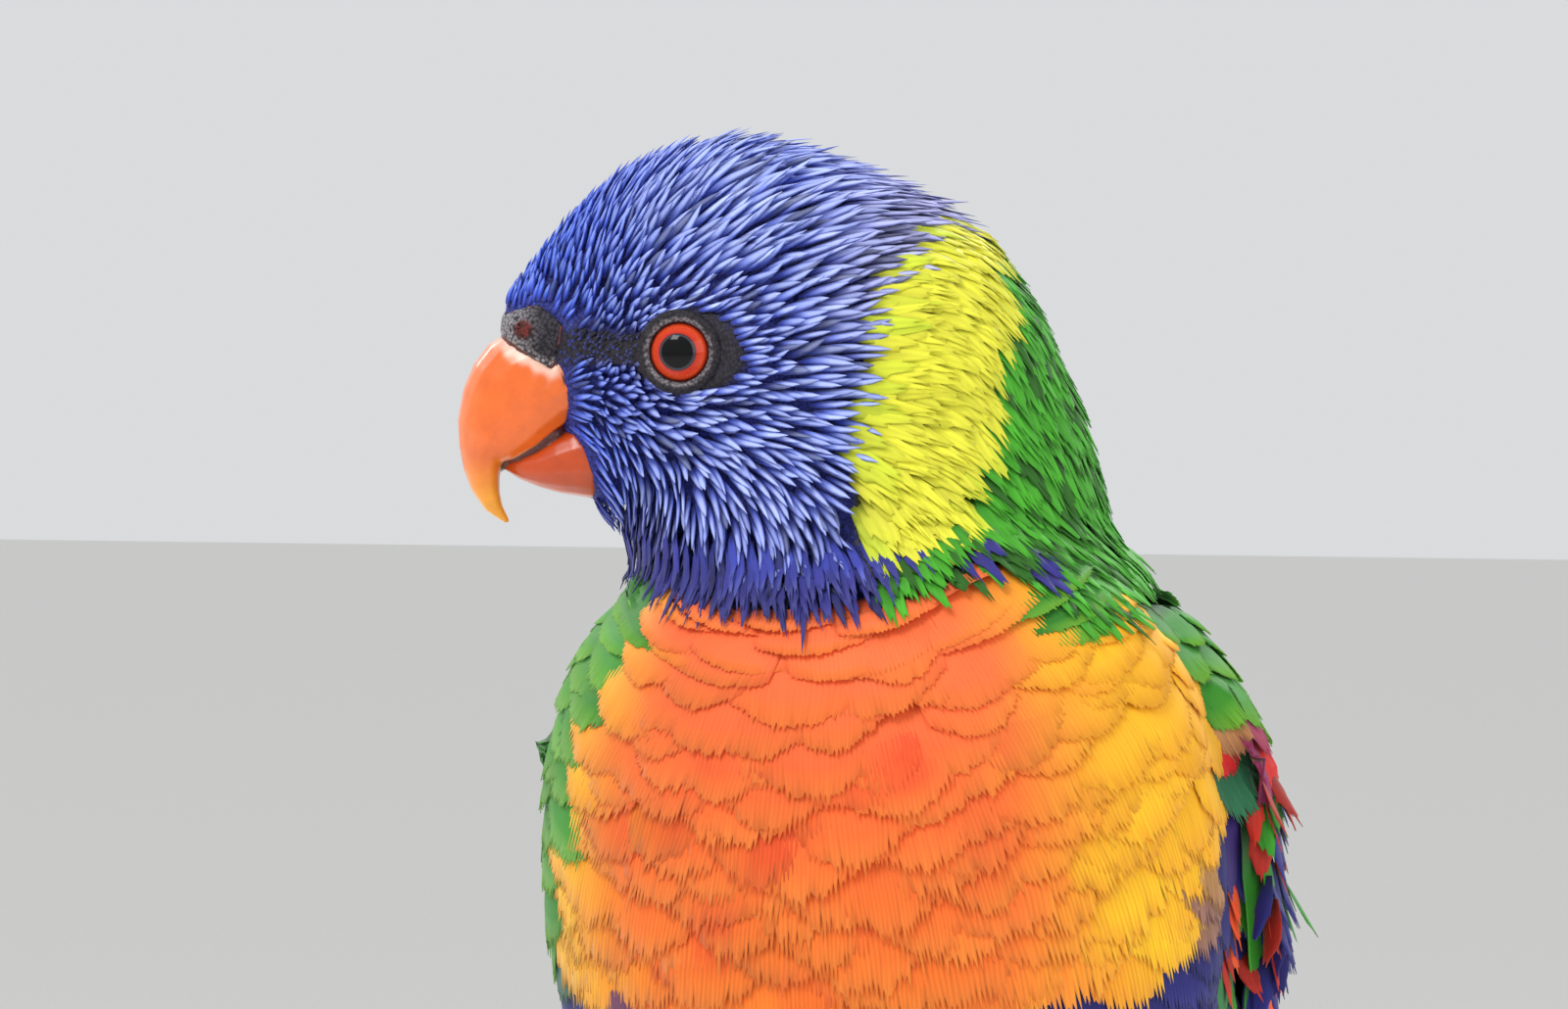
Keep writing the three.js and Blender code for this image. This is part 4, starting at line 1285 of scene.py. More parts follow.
class LORIKEET_OT_body(bpy.types.Operator):
    """Lay the rows of broad feathers on the breast, belly, flanks and back"""

    bl_idname = "lorikeet.body"
    bl_label = "Body feathers"

    def execute(self, context):
        rng = np.random.default_rng(21)
        cloak = form_of("cloak")
        wide = size("breast_width")
        feathers, ways = self.rows(cloak, wide, rng)
        shown = self.shown(feathers)
        feathers, ways = feathers[shown], ways[shown]
        tips = feathers[:, -1]
        angle = np.abs(round_body(tips))
        fine = (angle < 100) & (tips[:, 2] > 198)
        outline = ([0, 0.2, 0.5, 0.8, 1], [0.3, 0.75, 1.0, 1.0, 0.94])
        columns = 2 * int(wide / size("barb_spacing"))
        kinds = (
            ("breast_feathers", fine, broad_vane(columns, 5, 0.24, 0.045, outline, 0.08)),
            ("body_feathers", ~fine, broad_vane(20, 4, 0.26, 0.05, outline, 0.1)),
        )
        for name, which, shape in kinds:
            count = int(which.sum())
            ends = tips[which]
            depth = coat_depth(feathers[which][:, 0])
            loose = 1 - smooth(ends[:, 2], 212, 240)
            mantle = smooth(angle[which], 78, 92) * smooth(ends[:, 2], 215, 230)
            sides = smooth(angle[which], 56, 78)
            width = wide * rng.normal(1, 0.1, count) * (1 - 0.42 * sides - 0.1 * mantle)
            lift = (-depth * 0.95, rng.normal(0.0, 0.13, count))
            batch = lay(
                shape, feathers[which], ways[which], width, lift, rng,
                partial(body_tints, rng=rng, tips=ends), droop=0.3, twist=rng.normal(0, 0.015, count),
                bend=0.42, ragged=0.025 + 0.045 * loose, shade=0.13 + 0.17 * loose, form=cloak,
            )
            high = batch["roots"][:, 2] > np.median(batch["roots"][:, 2])
            for word, part in (("upper", high), ("lower", ~high)):
                feather_piece(
                    f"{word}_{name}", [some_of(batch, part)], feather_keratin(), "breast_plumage"
                )
        feather_piece("flank_feathers", [self.flank_tufts(rng)], feather_keratin(), "breast_plumage")
        feather_piece("mantle_feathers", [self.mantle(rng)], feather_keratin(), "green_plumage")
        return {"FINISHED"}

    def rows(self, cloak, wide, rng):
        """Midlines of the feathers and the ways out along them. The tips lie in rows along the bands,
        less than half a feather apart, and each row is set half a step on from the last."""
        lines, outs = body_lines(cloak)
        bands = np.maximum.accumulate(band_of(lines), axis=1)
        reach = int(round(size("breast_feather") / STEP))
        picked = []
        levels = np.arange(bands[:, 2].min(), bands[:, -1].max(), size("breast_row"))
        for row, band in enumerate(levels):
            ends = (bands < band).sum(axis=1)
            open_rays = (ends > 2) & (ends < PLACES - 1)
            loop = lines[np.arange(RAYS), np.minimum(ends, PLACES - 1)]
            around = np.linalg.norm(np.roll(loop, -1, axis=0) - loop, axis=1) * open_rays
            travelled = np.cumsum(around)
            number = int(travelled[-1] / (wide * 0.42))
            if number:
                spots = (np.arange(number) + 0.5 * (row % 2) + rng.normal(0, 0.2, number)) / number
                rays = np.searchsorted(travelled, (spots % 1) * travelled[-1]) % RAYS
                picked.extend((int(ray), int(ends[ray])) for ray in rays if open_rays[ray])
        picked = np.array(picked)
        ends = picked[:, 1] + rng.integers(-1, 2, len(picked))
        starts = np.maximum(ends - reach, 0)
        shares = np.linspace(0, 1, 6)[None]
        steps = (starts[:, None] * (1 - shares) + ends[:, None] * shares).round().astype(int)
        steps = np.minimum(steps, PLACES - 1)
        rays = picked[:, 0, None]
        return lines[rays, steps], outs[rays, steps]

    def shown(self, feathers):
        """Which feathers lie on the body, not on the wings, the legs or the tail."""
        tips = feathers[:, -1]
        angle = np.abs(round_body(tips))
        wings = [Surface(NODES[name]) for name in ("wing_left", "wing_right")]
        to_wing = np.min([wing.distance(tips) for wing in wings], axis=0)
        to_body = form_of("plumage").distance(tips)
        hidden = (to_wing < to_body) & (angle > 80) & (tips[:, 2] < 224)
        rump = np.where(angle > 140, 9, 0)
        low = (tips[:, 2] < 139 - rump) | (feathers[:, 0, 2] < 146 - rump)
        return ~hidden & ~low

    def flank_tufts(self, rng):
        """Loose tufts that spill over the front edges of the wings."""

        def keep(points):
            turned = np.abs(round_body(points))
            edge = np.interp(points[:, 2], [190, 215, 238], [77, 81, 90])
            top = np.where(points[:, 0] > 0, 231, 208)
            return (points[:, 2] > 190) & (points[:, 2] < top) & (turned > edge) & (turned < edge + 25)

        paints = [
            (0.1, linear("#e8501f")), (0.24, linear("#a8200f")), (0.48, colour("belly") * 1.2),
            (0.18, colour("green")),
        ]
        return loose_feathers(rng, keep, gap=1.8, long=6.8, wide=3.0, ragged=0.09, paints=paints)

    def mantle(self, rng):
        """Feathers between the wings that lie over the inner edges of both."""

        def keep(points):
            turned = np.abs(round_body(points))
            return (points[:, 2] > 206) & (points[:, 2] < 246) & (turned > 132)

        paints = [(0.6, colour("green")), (0.4, blend(colour("green"), colour("green_shade"), 0.3))]
        return loose_feathers(rng, keep, gap=3.2, long=10.0, wide=6.2, ragged=0.03, paints=paints)


def loose_feathers(rng, keep, gap, long, wide, ragged, paints):
    """Feathers that hang straight from their roots on the cloak, so that they bridge its hollows. paints
    is the colours and the share of the feathers that has each."""
    cloak = form_of("cloak")
    roots = cloak.scatter(keep, gap, count=FEW_DARTS, rng=rng)
    count = len(roots)
    _, normals = cloak.nearest(roots)
    way = np.array([0.0, 0.16, -1.0]) + 0.08 * rng.normal(0, 1, (count, 3))
    way = unit(way + 0.12 * normals - normals * np.sum(way * normals, axis=1, keepdims=True))
    shares = np.linspace(0, 1, 5)[None, :, None]
    lines = roots[:, None] + way[:, None] * long * rng.normal(1, 0.11, (count, 1, 1)) * shares
    outs = np.tile(normals[:, None], (1, 5, 1))
    chances = np.array([share for share, _ in paints])
    picked = rng.choice(len(paints), count, p=chances / chances.sum())
    body = np.array([tint for _, tint in paints])[picked]
    body = np.clip(body * rng.normal(1, 0.12, (count, 1)), 0, 1)
    shape = broad_vane(8, 4, 0.5, 0.04, ([0, 0.3, 0.7, 1], [0.3, 0.8, 1.0, 0.5]), 0.08)
    return lay(
        shape, lines, outs, wide * rng.normal(1, 0.1, count), (-0.9, -0.3), rng,
        (body * 0.4, body, np.clip(body * 1.3, 0, 1)), droop=0.3, twist=rng.normal(0, 0.1, count),
        sway=rng.normal(0, 0.05, count), ragged=ragged, shade=0.2,
    )


class WingSheet:
    """A folded wing's outer side, as a smooth sheet over degrees round the body and height."""

    TURN_STEP = 3.0
    HEIGHT_STEP = 4.0

    def __init__(self, name, side):
        self.side = side
        surface = Surface(NODES[name])
        self.degrees = np.arange(78, 182, self.TURN_STEP)
        self.heights = np.arange(92, 256, self.HEIGHT_STEP)
        turn, high = np.meshgrid(self.degrees, self.heights)
        origins = np.stack([0 * high, spine_y(high), high], -1).reshape(-1, 3)
        reach = surface.outermost(origins, self.way(turn).reshape(-1, 3), 90.0)
        self.reach = self.filled(reach.reshape(turn.shape))

    def filled(self, reach, passes=40):
        """The reach with its holes filled from their neighbours, and the rest smoothed a little."""
        known = ~np.isnan(reach)
        sheet = np.where(known, reach, 0.0)
        weight = known.astype(float)
        for _ in range(passes):
            wide_sheet, wide_weight = (np.pad(rows, 1, mode="edge") for rows in (sheet, weight))
            near = [(1, 0), (-1, 0), (0, 1), (0, -1)]
            total = sum(np.roll(wide_sheet * wide_weight, step, (0, 1))[1:-1, 1:-1] for step in near)
            share = sum(np.roll(wide_weight, step, (0, 1))[1:-1, 1:-1] for step in near)
            average = np.divide(total, share, out=np.copy(sheet), where=share > 0)
            sheet = np.where(known, 0.6 * sheet + 0.4 * average, average)
            weight = np.maximum(weight, (share > 0).astype(float))
        return sheet

    def way(self, degrees):
        """The way out from the spine at each turn."""
        turn = np.radians(degrees)
        return np.stack([np.sin(turn) * self.side, -np.cos(turn), 0 * turn], -1)

    def place(self, degrees, height):
        """The point of the sheet at each turn and height."""
        column = (degrees - self.degrees[0]) / self.TURN_STEP
        row = (height - self.heights[0]) / self.HEIGHT_STEP
        column = np.clip(column, 0, len(self.degrees) - 1.001)
        row = np.clip(row, 0, len(self.heights) - 1.001)
        j, i = column.astype(int), row.astype(int)
        s, t = column - j, row - i
        far = (self.reach[i, j] * (1 - s) + self.reach[i, j + 1] * s) * (1 - t)
        far = far + (self.reach[i + 1, j] * (1 - s) + self.reach[i + 1, j + 1] * s) * t
        centre = np.stack([0 * height, spine_y(height), height], -1)
        return centre + self.way(degrees) * far[..., None]

    def lines(self, roots, tips, stations):
        """Midlines over the sheet between roots and tips, each in degrees and height."""
        share = np.linspace(0, 1, stations)[None]
        degrees = roots[:, :1] + (tips[:, :1] - roots[:, :1]) * share
        height = roots[:, 1:] + (tips[:, 1:] - roots[:, 1:]) * share
        across = self.place(degrees + 2, height) - self.place(degrees - 2, height)
        down = self.place(degrees, height - 2) - self.place(degrees, height + 2)
        out = unit(np.cross(down, across)) * self.side
        return self.place(degrees, height), out


def across_tier(count, ends):
    """Places in degrees and height across a tier of feathers, from a row of values for each."""
    share = np.linspace(0, 1, count)
    return np.stack([np.interp(share, np.linspace(0, 1, len(end)), end) for end in ends], -1)


class LORIKEET_OT_wings(bpy.types.Operator):
    """Lay the flight feathers and coverts of both folded wings"""

    bl_idname = "lorikeet.wings"
    bl_label = "Wings"

    # From the lowest up: how many, the degrees and heights of the roots and of the tips from the
    # front feather to the back one, the width, the root's and the tip's lift, and rows of faces
    PRIMARIES = [
        (9, ((94, 116), (199, 206)), ((131, 160), (101, 99, 112, 128)), 11, (-1.6, -1.2), 12),
    ]
    COVERTS = [
        (10, ((112, 156), (206, 214)), ((140, 170), (130, 154)), 11, (-1.4, -0.5), 10),
        (11, ((90, 160), (214, 220)), ((98, 168), (184, 194)), 10, (-1.0, -0.1), 7),
        (15, ((88, 158), (226, 230)), ((94, 164), (203, 208)), 7.5, (-1.0, 0.1), 6),
        (18, ((89, 157), (233, 236)), ((93, 162), (214, 217)), 6.5, (-1.6, 0.1), 5),
        (19, ((90, 156), (239, 242)), ((92, 160), (223, 226)), 6.0, (-2.4, 0.0), 5),
    ]

    def execute(self, context):
        for word, side in (("left", 1), ("right", -1)):
            rng = np.random.default_rng(31 + side)
            sheet = WingSheet(f"wing_{word}", side)
            batches = [self.lay_tier(sheet, row, rng, True) for row in self.PRIMARIES]
            batches += [self.lay_tier(sheet, row, rng, False) for row in self.COVERTS]
            feather_piece(
                f"wing_{word}_feathers", batches, wing_keratin(), "green_plumage", f"wing_{word}",
                islands=True,
            )
        return {"FINISHED"}

    def lay_tier(self, sheet, row, rng, primaries):
        """One tier: the primaries long, pointed and dark, the others blunt with pale edges."""
        number, root_ends, tip_ends, wide, lift, face_rows = row
        roots, tips = across_tier(number, root_ends), across_tier(number, tip_ends)
        roots[:, 0] += rng.normal(0, 0.6, number)
        tips += rng.normal(0, 0.8, (number, 2))
        lines, outs = sheet.lines(roots, tips, 10)
        over_the_last = np.linspace(0, 1, number) * 0.8
        lines = lines + outs * over_the_last[:, None, None]
        body = np.tile(colour("green"), (number, 1)) * rng.normal(1, 0.1, (number, 1))
        dark = np.tile(colour("green_shade"), (number, 1))
        light = np.tile(colour("green_light"), (number, 1)) * 0.85
        if primaries:
            light, body = body * 0.8, blend(dark, body, 0.45 * np.ones(number))
            shape = broad_vane(22, face_rows, 0.12, 0.05, POINTED)
        else:
            shape = broad_vane(22, face_rows, 0.3, 0.05, BLUNT)
        return lay(
            shape, lines, outs, wide * rng.normal(1, 0.05, number), lift, rng, (dark, body, light),
            shaft=-0.5, droop=0.7, twist=-sheet.side * 0.14, bend=0.5, ragged=0.015, tip_from=0.8,
            shade=0.15, rim=-0.3,
        )


class LORIKEET_OT_tail(bpy.types.Operator):
    """Lay the tail feathers and the coverts over and under their roots"""

    bl_idname = "lorikeet.tail"
    bl_label = "Tail"

    def execute(self, context):
        rng = np.random.default_rng(41)
        long_shape = broad_vane(24, 14, 0.05, 0.05, TAPERED)
        short_shape = broad_vane(20, 6, 0.3, 0.06, BLUNT)
        above = self.coverts(FIVE_ACROSS, 4.5, lift=3.4, fall=0.3, start=-14, long=40, shorter=5, face=1)
        above += self.coverts(THREE_ACROSS, 5, lift=4.6, fall=0.5, start=-22, long=34, shorter=3, face=1)
        below = self.coverts(FIVE_ACROSS, 4.5, lift=-4, fall=0.3, start=-10, long=60, shorter=8, face=-1)
        below += self.coverts(THREE_ACROSS, 5, lift=-5.4, fall=0.5, start=-16, long=46, shorter=5, face=-1)
        green, vent = colour("green"), colour("vent")
        batches = [
            self.batch(long_shape, self.quills(), 12.5, green, colour("green_light") * 0.8, rng),
            self.batch(short_shape, above, 10.0, green, colour("green_light") * 0.9, rng),
            self.batch(short_shape, below, 10.0, vent, vent * 1.2, rng),
        ]
        feather_piece("tail_feathers", batches, wing_keratin(), "green_plumage", "tail", islands=True)
        return {"FINISHED"}

    def quills(self):
        """The long feathers in pairs, the middle pair longest and on top, as rows for batch."""
        rows = []
        for rank in range(6):
            for side in (-1, 1):
                lift = 2.2 - 0.88 * rank - (0.3 if side > 0 else 0)
                long = TAIL_LENGTH * (1 - 0.075 * rank) + 5
                rows.append((side * (1.7 + 0.75 * rank), side * (0.5 + 0.95 * rank), lift, -6, long, 1))
        return rows

    def coverts(self, places, spread, lift, fall, start, long, shorter, face):
        """Coverts across the tail, the outer ones closer to its plane and shorter, as rows for batch.
        face is 1 for those above the tail and -1 for those below."""
        return [
            (x * spread, x * 1.5, lift - face * fall * abs(x), start, long - shorter * abs(x), face)
            for x in places
        ]

    def batch(self, shape, rows, wide, body, tip, rng):
        """Straight feathers, each from a row: its place across the tail, its splay in degrees, its
        lift over the tail, how far past the tail's root it starts, its length and its face."""
        lines, outs = [], []
        shares = np.linspace(0, 1, 10)[:, None]
        for x, splay, lift, start, long, face in rows:
            along = Matrix.Rotation(math.radians(splay), 3, Vector(TAIL_OUT)) @ Vector(TAIL_ALONG)
            first = TAIL_ROOT + TAIL_OUT * lift + TAIL_ALONG * start + np.array([x, 0, 0])
            lines.append(first + np.array(along) * long * shares)
            outs.append(np.tile(TAIL_OUT * face, (10, 1)))
        count = len(rows)
        tints = [
            np.tile(tint, (count, 1)) * rng.normal(1, 0.08, (count, 1)) for tint in (body * 0.4, body, tip)
        ]
        return lay(
            shape, np.array(lines), np.array(outs), wide, (0.0, 0.0), rng, tints, shaft=-0.5, droop=0.6,
            ragged=0.015, shade=0.14, rim=-0.3, tip_from=0.6,
        )


class LORIKEET_OT_thighs(bpy.types.Operator):
    """Lay the small feathers of the thighs"""

    bl_idname = "lorikeet.thighs"
    bl_label = "Thigh feathers"

    def execute(self, context):
        rng = np.random.default_rng(51)
        surface = form_of("plumage")
        roots = surface.scatter(self.keep, 2.4, count=30000, rng=rng)
        count = len(roots)
        lines, outs = surface.march(roots, self.way, np.full(count, 5.5) * rng.normal(1, 0.1, count), 5)
        body = np.tile(colour("vent"), (count, 1)) * rng.normal(0.9, 0.15, (count, 1))
        shape = broad_vane(10, 3, 0.5, 0.05, ([0, 0.3, 0.7, 1], [0.3, 0.8, 1.0, 0.8]))
        tints = (body * 0.4, body, np.clip(body * 1.2, 0, 1))
        batch = lay(shape, lines, outs, 3.6, (-1.2, 0.1), rng, tints, droop=0.4, ragged=0.08, shade=0.15)
        feather_piece("thigh_feathers", [batch], feather_keratin(), "green_plumage")
        return {"FINISHED"}

    def keep(self, points):
        """On the two thighs."""
        beside = np.abs(np.abs(points[:, 0]) - THIGH_SIDE) < 9
        return beside & (points[:, 2] < 176) & (points[:, 1] < 14) & (points[:, 2] > 155)

    def way(self, points):
        """Down and a little forward."""
        return np.tile(np.array([0.0, -0.15, -1.0]), (len(points), 1))


class LORIKEET_OT_bill(bpy.types.Operator):
    """Rebuild the bill's two halves and the cere as smooth horn and skin"""

    bl_idname = "lorikeet.bill"
    bl_label = "Bill"

    def execute(self, context):
        horn = bill_horn()
        for name, tints in (("bill_upper", self.upper_tints), ("bill_lower", self.lower_tints)):
            piece = rebuilt(f"{name}_horn", (name,), 0.22, 6)
            grow(piece, 0.12)
            colour_points(piece, tints(points_of(piece)))
            hand_over(piece, horn, "bill_horn", name)
        # A dark red sheet just inside the bill and the cere: the mouth's flesh, and painted shade in the
        # gaps between the bill's halves and the cere.
        lining = copy_of_nodes("mouth_lining", ("bill_upper", "bill_lower", "cere"))
        grow(lining, 0.45)
        remesh(lining, 0.3)
        grow(lining, -0.6)
        relax(lining, 3)
        colour_points(lining, np.tile(linear("#5c1d10"), (len(lining.data.vertices), 1)))
        hand_over(lining, horn, "bill_horn")
        cere = rebuilt("cere_skin", ("cere",), 0.2, 4)
        colour_points(cere, self.cere_tints(points_of(cere)))
        hand_over(cere, bare_skin("#56525c"), "bare_skin", "cere")
        return {"FINISHED"}

    def painted_ridge_highlight(self, tint, forward):
        """The colour with a painted highlight along the bill's front ridge, and a little paler all over.
        """
        return blend(tint, linear("#ffb27c"), smooth(forward, 43.5, 46.8) * 0.22 + 0.03)

    def upper_tints(self, points):
        """Yellow at the tip, scuffed where it leaves the cere and pale along the cutting edge."""
        forward, up, _ = head_places(points)
        tip = (1 - smooth(up, 257, 264)) * smooth(forward, 40, 42.5)
        tint = self.painted_ridge_highlight(blend(colour("bill"), colour("bill_tip"), tip), forward)
        to_lower, to_cere = (form_of(name).distance(points) for name in ("bill_lower", "cere"))
        scuff = np.sin(up * 1.9 + forward * 1.1) * np.sin(up * 0.8 - forward * 2.3)
        tint = blend(tint, linear("#f8d8c6"), 0.75 * (1 - smooth(to_cere + 0.5 * scuff, 0.3, 1.8)))
        return blend(tint, linear("#ffc79a"), 0.8 * (1 - smooth(to_lower, 0.5, 1.1)))

    def lower_tints(self, points):
        """Deeper red all over: a darker copy of the bill's colour, painted shade under the upper half,
        with the faint painted highlight at the front.
        """
        forward, _, _ = head_places(points)
        tint = np.tile(colour("bill"), (len(points), 1))
        return blend(self.painted_ridge_highlight(tint, forward), linear("#b43607"), 0.75 * np.ones(len(points)))

    def cere_tints(self, points):
        """Grey skin, darker behind, pale at the bill, and dark red at the nostril: its flesh with painted
        shade for the hole.
        """
        forward, up, _ = head_places(points)
        hole = np.hypot(forward - NOSTRIL[0], up - NOSTRIL[1])
        rim = 1 - smooth(form_of("bill_upper").distance(points), 0.35, 1.1)
        tint = blend(linear("#443e48"), linear("#a8a3a6"), smooth(forward, 37.5, 41.5))
        tint = blend(tint, linear("#d6cfcc"), rim * 0.7)
        return blend(tint, linear("#7a2a22"), 1 - smooth(hole, 0.7, 1.3))


class LORIKEET_OT_eyes(bpy.types.Operator):
    """Model both eyes and the pebbled rings of skin round them"""

    bl_idname = "lorikeet.eyes"
    bl_label = "Eyes"

    def execute(self, context):
        gloss = eye_gloss()
        skin = bare_skin("#6a6670")
        for word, side in (("left", 1), ("right", -1)):
            axis = eye_axis(side)
            middle = eye_place(side)
            turn = Vector((0, 0, 1)).rotation_difference(Vector(axis)).to_euler()
            ball = self.eyeball(f"eyeball_{word}", middle, axis, turn)
            hand_over(ball, gloss, "eye", f"eye_{word}")
            hand_over(self.ring(f"eye_ring_{word}", middle, axis, turn), skin, "bare_skin")
        return {"FINISHED"}

    def eyeball(self, name, middle, axis, turn):
        """A ball cut off behind, with a cornea that swells within the aperture, and its disc map."""
        sink = math.sqrt(EYE_RADIUS**2 - EYE_APERTURE**2)
        bpy.ops.object.select_all(action="DESELECT")
        bpy.ops.mesh.primitive_uv_sphere_add(
            segments=64, ring_count=48, radius=EYE_RADIUS * MM, location=(middle - axis * sink) * MM,
            rotation=turn,
        )
        ball = bpy.context.object
        ball.name = name
        settle(ball)
        back = (middle - axis * (sink + 1.5)) * MM
        in_edit_mode(ball, (bpy.ops.mesh.bisect, {
            "plane_co": back, "plane_no": axis, "use_fill": True, "clear_inner": True,
        }))
        offset = points_of(ball) - middle
        apart = np.linalg.norm(np.cross(offset, axis), axis=1)
        cornea = (1 - smooth(apart, 1.2, EYE_APERTURE)) * (offset @ axis > 0)
        grow(ball, 0.3, weigh(ball, "cornea", cornea))
        bpy.ops.object.shade_smooth()
        offset = points_of(ball) - middle
        along = offset @ axis
        flat = offset - along[:, None] * axis
        across = unit(np.cross(axis, UP)[None])[0]
        disc = np.stack([flat @ across, flat @ np.cross(across, axis)], -1) / DISC_SPAN
        disc[along < -sink] = OFF_DISC
        map_points(ball, "EyeDisc", disc)
        return ball

    def ring(self, name, middle, axis, turn):
        """A ring of beads, dark where it meets the eye and the plumage."""
        bpy.ops.object.select_all(action="DESELECT")
        bpy.ops.mesh.primitive_torus_add(
            location=middle * MM, rotation=turn, major_segments=96, minor_segments=20,
            major_radius=(EYE_APERTURE + RING_OFFSET) * MM, minor_radius=RING_THICK * MM,
        )
        lid = bpy.context.object
        lid.name = name
        settle(lid)
        beads = bpy.data.textures.new("eye ring beads", "VORONOI")
        beads.noise_scale = 0.45 * MM
        finish_with(
            lid, "DISPLACE", texture=beads, texture_coords="LOCAL", strength=-0.15 * MM, mid_level=0.4
        )
        bpy.ops.object.shade_smooth()
        offset = points_of(lid) - middle
        wide = np.linalg.norm(offset - (offset @ axis)[:, None] * axis, axis=1)
        tint = blend(linear("#938e92"), linear("#302b33"), smooth(wide, 3.45, 3.85))
        colour_points(lid, blend(linear("#1a161a"), tint, smooth(wide, 3.1, 3.3)))
        return lid


class LORIKEET_OT_feet(bpy.types.Operator):
    """Rebuild the feet and claws as rounded scaled skin and horn"""

    bl_idname = "lorikeet.feet"
    bl_label = "Feet"

    def execute(self, context):
        scales = foot_scales()
        horn = claw_horn()
        for word in ("left", "right"):
            foot = rebuilt(f"foot_{word}_skin", (f"foot_{word}",), 0.4, 3)
            hand_over(foot, scales, "foot_skin", f"foot_{word}")
            for toe in ("inner_front", "outer_front", "outer_back", "inner_back"):
                name = f"claw_{word}_{toe}"
                claw = rebuilt(f"{name}_horn", (name,), 0.16, 3)
                hand_over(claw, horn, "claw_horn", name)
        return {"FINISHED"}


def is_top(face):
    return face.normal.z > ALIGNED


def is_end(face):
    return abs(face.normal.z) > ALIGNED


def is_cut_end(face):
    return abs(face.normal.x) > ALIGNED


def is_lengthwise(edge):
    """Whether an edge of the branch runs from one end to the other."""
    first, last = (edge.id_data.vertices[i].co.x for i in edge.vertices)
    return abs(first - last) > PERCH_RADIUS * MM


class LORIKEET_OT_perch(bpy.types.Operator):
    """Model the cut branch that the bird grips"""

    bl_idname = "lorikeet.perch"
    bl_label = "Perch"

    def execute(self, context):
        low, high = (np.array(corner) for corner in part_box("perch"))
        middle = (low + high) / 2
        long = float(high[0] - low[0])
        branch = cylinder(
            "perch_branch", 64, (PERCH_RADIUS - BARK) * MM, long - 0.4 * MM, middle, turn=math.pi / 2
        )
        edit_some(
            branch, "polygons", is_cut_end, (bpy.ops.mesh.inset, {"thickness": 0.9 * MM}),
            (bpy.ops.mesh.inset, {"thickness": 1.2 * MM}),
        )
        edit_some(branch, "edges", is_lengthwise, (bpy.ops.mesh.subdivide, {"number_cuts": 90}))
        bark = bpy.data.textures.new("bark relief", "CLOUDS")
        bark.noise_scale = 4 * MM
        bark.noise_depth = 4
        finish_with(
            branch, "DISPLACE", texture=bark, texture_coords="LOCAL", strength=0.7 * MM, mid_level=0.5
        )
        bpy.ops.object.shade_smooth()
        hand_over(branch, branch_bark(), "branch_wood", "perch")
        branch.data.materials.append(cut_wood(middle))
        for face in branch.data.polygons:
            ring = math.hypot(face.center.y - middle[1], face.center.z - middle[2])
            if abs(face.center.x) > long / 2 - MM and ring < (PERCH_RADIUS - 1.1) * MM:
                face.material_index = 1
        return {"FINISHED"}


class LORIKEET_OT_stand(bpy.types.Operator):
    """Model the turned base and the brass rod"""

    bl_idname = "lorikeet.stand"
    bl_label = "Stand"

    def execute(self, context):
        low, high = (np.array(corner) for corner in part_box("stand_base"))
        middle = (low + high) / 2
        base = cylinder("turned_base", 128, float(high[0] - low[0]) / 2, float(high[2] - low[2]), middle)
        turned = ((1.2, 0.0), (1.6, -1.2), (1.4, 0.0), (1.2, 0.9), (20.0, 0.0))
        edit_some(base, "polygons", is_top, *(
            (bpy.ops.mesh.inset, {"thickness": width * MM, "depth": rise * MM}) for width, rise in turned
        ))
        round_edges(base, 0.5, sharp=25)
        hand_over(base, walnut(), "base_wood", "stand_base")
        low, high = (np.array(corner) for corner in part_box("stand_rod"))
        middle = (low + high) / 2
        rod = cylinder("brass_rod", 48, float(high[0] - low[0]) / 2, float(high[2] - low[2]), middle)
        edit_some(rod, "polygons", is_end, (bpy.ops.mesh.inset, {"thickness": 0.6 * MM}))
        round_edges(rod, 0.3, sharp=40)
        hand_over(rod, brushed_brass(), "rod_brass", "stand_rod")
        return {"FINISHED"}


def aim(item, target):
    """Turn a camera or light to face a place."""
    way = Vector(target) - item.location
    item.rotation_euler = way.to_track_quat("-Z", "Y").to_euler()


